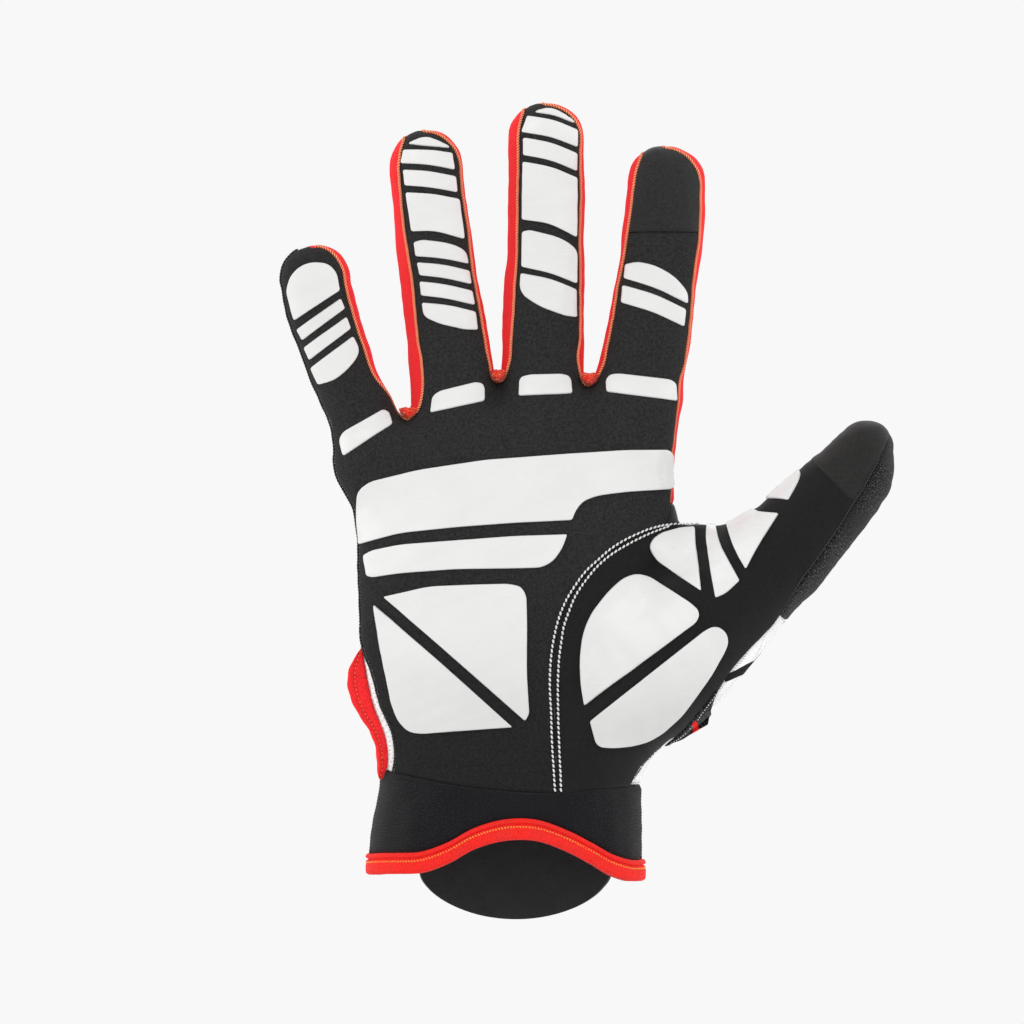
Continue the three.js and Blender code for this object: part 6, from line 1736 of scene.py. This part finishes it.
# heights at which the paths along the edges are read: from, to and step
edgeSpans = {"heel": (25.5, 35, 1.0), "dark": (31.5, 76, 1.5), "pale": (61.5, 78, 1.5), "thumb": 71}
ulnarLine = np.concatenate([finePalm[:, 0], fineBlocks[0][1:, 0]])
heelHeights = np.arange(*edgeSpans["heel"])
heelLine = touch(np.interp(heelHeights, thumbRows["rightZ"][:4], thumbRows["rightX"][:4]), heelHeights, -1)
darkLines, paleLines = ([ulnarPoint(np.arange(*edgeSpans[name])), heelLine] for name in ("dark", "pale"))
onThumb = thumbRows["rightZ"] > edgeSpans["thumb"]
thumbLine = touch(thumbRows["rightX"][onThumb], thumbRows["rightZ"][onThumb], -1)

threads = {
    "finger_seam_thread": (ropeParts(fingerSeam(), rope, 0.05, thinRope), "redThread"),
    "thumb_seam_stitches": (joinParts([stitchParts(pathOn(row), seamStitch) for row in seamRows]),
                            "whiteThread"),
    "binding_stitches": (stitchParts(bindingLine, bindingStitch), "orangeThread"),
    "side_tab_stitches": (tabStitchParts(tabLine), "tabThread"),
    "cuff_side_threads": (joinParts([ropeParts(cuffSideLine(side, end), darkRope, -0.1)
                                     for side, end in (("left", 0), ("right", -1))]), "blackThread"),
    **{name: (bunchParts(*places), "redBunch") for name, places in bunches.items()},
    "little_side_thread": (ropeParts(refineLine(ulnarLine, 4), darkRope, 0.0), "blackThread"),
    "dark_edge_stitches": (stitchLines(darkLines, edgeStitch), "blackThread"),
    "pale_edge_stitches": (stitchLines(paleLines, whiteEdgeStitch), "whiteThread"),
    "wedge_stitches": (stitchLines([wedgeFront[2:-2, 3]], wedgeStitch), "whiteThread"),
    "thumb_side_thread": (ropeParts(refineLine(thumbLine, 5), fineRope, 0.0), "blackThread"),
    "mesh_stripe_print": (stripeParts(), "blackInk"),
}
for name, (parts, material) in threads.items():
    makePiece(name, *parts, materials[material])
print("threads and prints made")

# how each cloth piece is held and the piece it lies on or is sewn to
sheets = {
    "pull_tab": ("hung", "cuff_back"),
    "palm_panel": ("stretched", "back_panel"),
    "back_panel": ("stretched", "palm_panel"),
    "thumb_panel": ("stretched", "thumb_gusset"),
    "thumb_gusset": ("stretched", "thumb_panel"),
    "thumb_touch_patch": ("stretched", "thumb_panel"),
    "index_touch_patch": ("stretched", "palm_panel"),
    "web_gusset": ("stretched", "palm_panel"),
    **{name: ("stretched", "palm_panel") for name in strips},
    "cuff_palm": ("stretched", "cuff_back"),
    "cuff_back": ("stretched", "cuff_palm"),
}


# prints a cloth piece's sizes: half its closed wall's area, and the rectangle of flat lengths that the cut fits
# in
def declareSheet(name):
    piece = bpy.data.objects[name + "_cloth"]
    faceArea, place = np.zeros(len(piece.data.polygons)), np.zeros(len(piece.data.loops) * 2)
    piece.data.polygons.foreach_get("area", faceArea)
    piece.data.uv_layers["UVMap"].data.foreach_get("uv", place)
    spans = np.ptp(place.reshape(-1, 2), axis=0) * millimetre
    area = float(faceArea.sum() / 2)
    width, length = (float(value) for value in spans * max(1, math.sqrt(area * 1.02 / spans.prod())))
    print("sheet", name, round(width * 1000), "by", round(length * 1000), "mm, area", round(area * 1e6), "mm2")


for name, (held, under) in sheets.items():
    declareSheet(name)


# stage, light and camera

view = {"x": 1.4, "z": 101.5, "away": 3000, "across": 291.84, "sensor": 36}
stage = {"floorZ": -75, "radius": 540, "sides": 96}
lights = {
    "keyLight": {"at": (-1.1, -2.2, 1.6), "size": 1.6, "power": 9.0},
    "fillLight": {"at": (1.6, -1.8, 0.5), "size": 1.8, "power": 3.5},
    "backLight": {"at": (0.4, 1.8, 1.6), "size": 1.6, "power": 9.0},
    "leftLight": {"at": (-2.2, -0.3, 0.2), "size": 1.6, "power": 9.0},
    "rightLight": {"at": (2.2, -0.3, 0.2), "size": 1.6, "power": 8.0},
}
backdrop = 0.939


def makeFloor():
    angle = np.arange(stage["sides"]) / stage["sides"] * 2 * np.pi
    height = np.full(stage["sides"], stage["floorZ"])
    points = np.stack([np.cos(angle) * stage["radius"], np.sin(angle) * stage["radius"], height], axis=1)
    mesh = bpy.data.meshes.new("floor")
    mesh.from_pydata((points * millimetre).tolist(), [], [list(range(stage["sides"]))])
    material, tree, shader = startMaterial("floorPaint", Roughness=0.8)
    shade = useGroup(tree, "mottle", Colour=(0.84, 0.84, 0.84, 1), Scale=3.0, Amount=0.01)
    tree.links.new(shade["Colour"], shader.inputs["Base Color"])
    mesh.materials.append(material)
    addToScene("floor", mesh)


def makeLights():
    world = bpy.data.worlds.new("studio")
    bpy.context.scene.world = world
    world.use_nodes = True
    world.node_tree.nodes["Background"].inputs["Color"].default_value = (backdrop, backdrop, backdrop, 1)
    for name, lamp in lights.items():
        data = bpy.data.lights.new(name, "AREA")
        data.shape = "DISK"
        data.size, data.energy = lamp["size"], lamp["power"]
        light = addToScene(name, data)
        light.location = lamp["at"]
        toward = Vector((0, 0, 0.1)) - light.location
        light.rotation_euler = toward.to_track_quat("-Z", "Y").to_euler()


def makeCamera():
    data = bpy.data.cameras.new("camera")
    data.sensor_width = view["sensor"]
    data.lens = view["sensor"] * view["away"] / view["across"]
    data.clip_start, data.clip_end = 0.1, 20
    camera = addToScene("camera", data)
    camera.location = Vector((view["x"], -view["away"], view["z"])) * millimetre
    camera.rotation_euler = (math.pi / 2, 0, 0)
    bpy.context.scene.camera = camera


makeFloor()
makeLights()
makeCamera()
bpy.context.scene.view_settings.view_transform = "Standard"
print("stage, light and camera made")
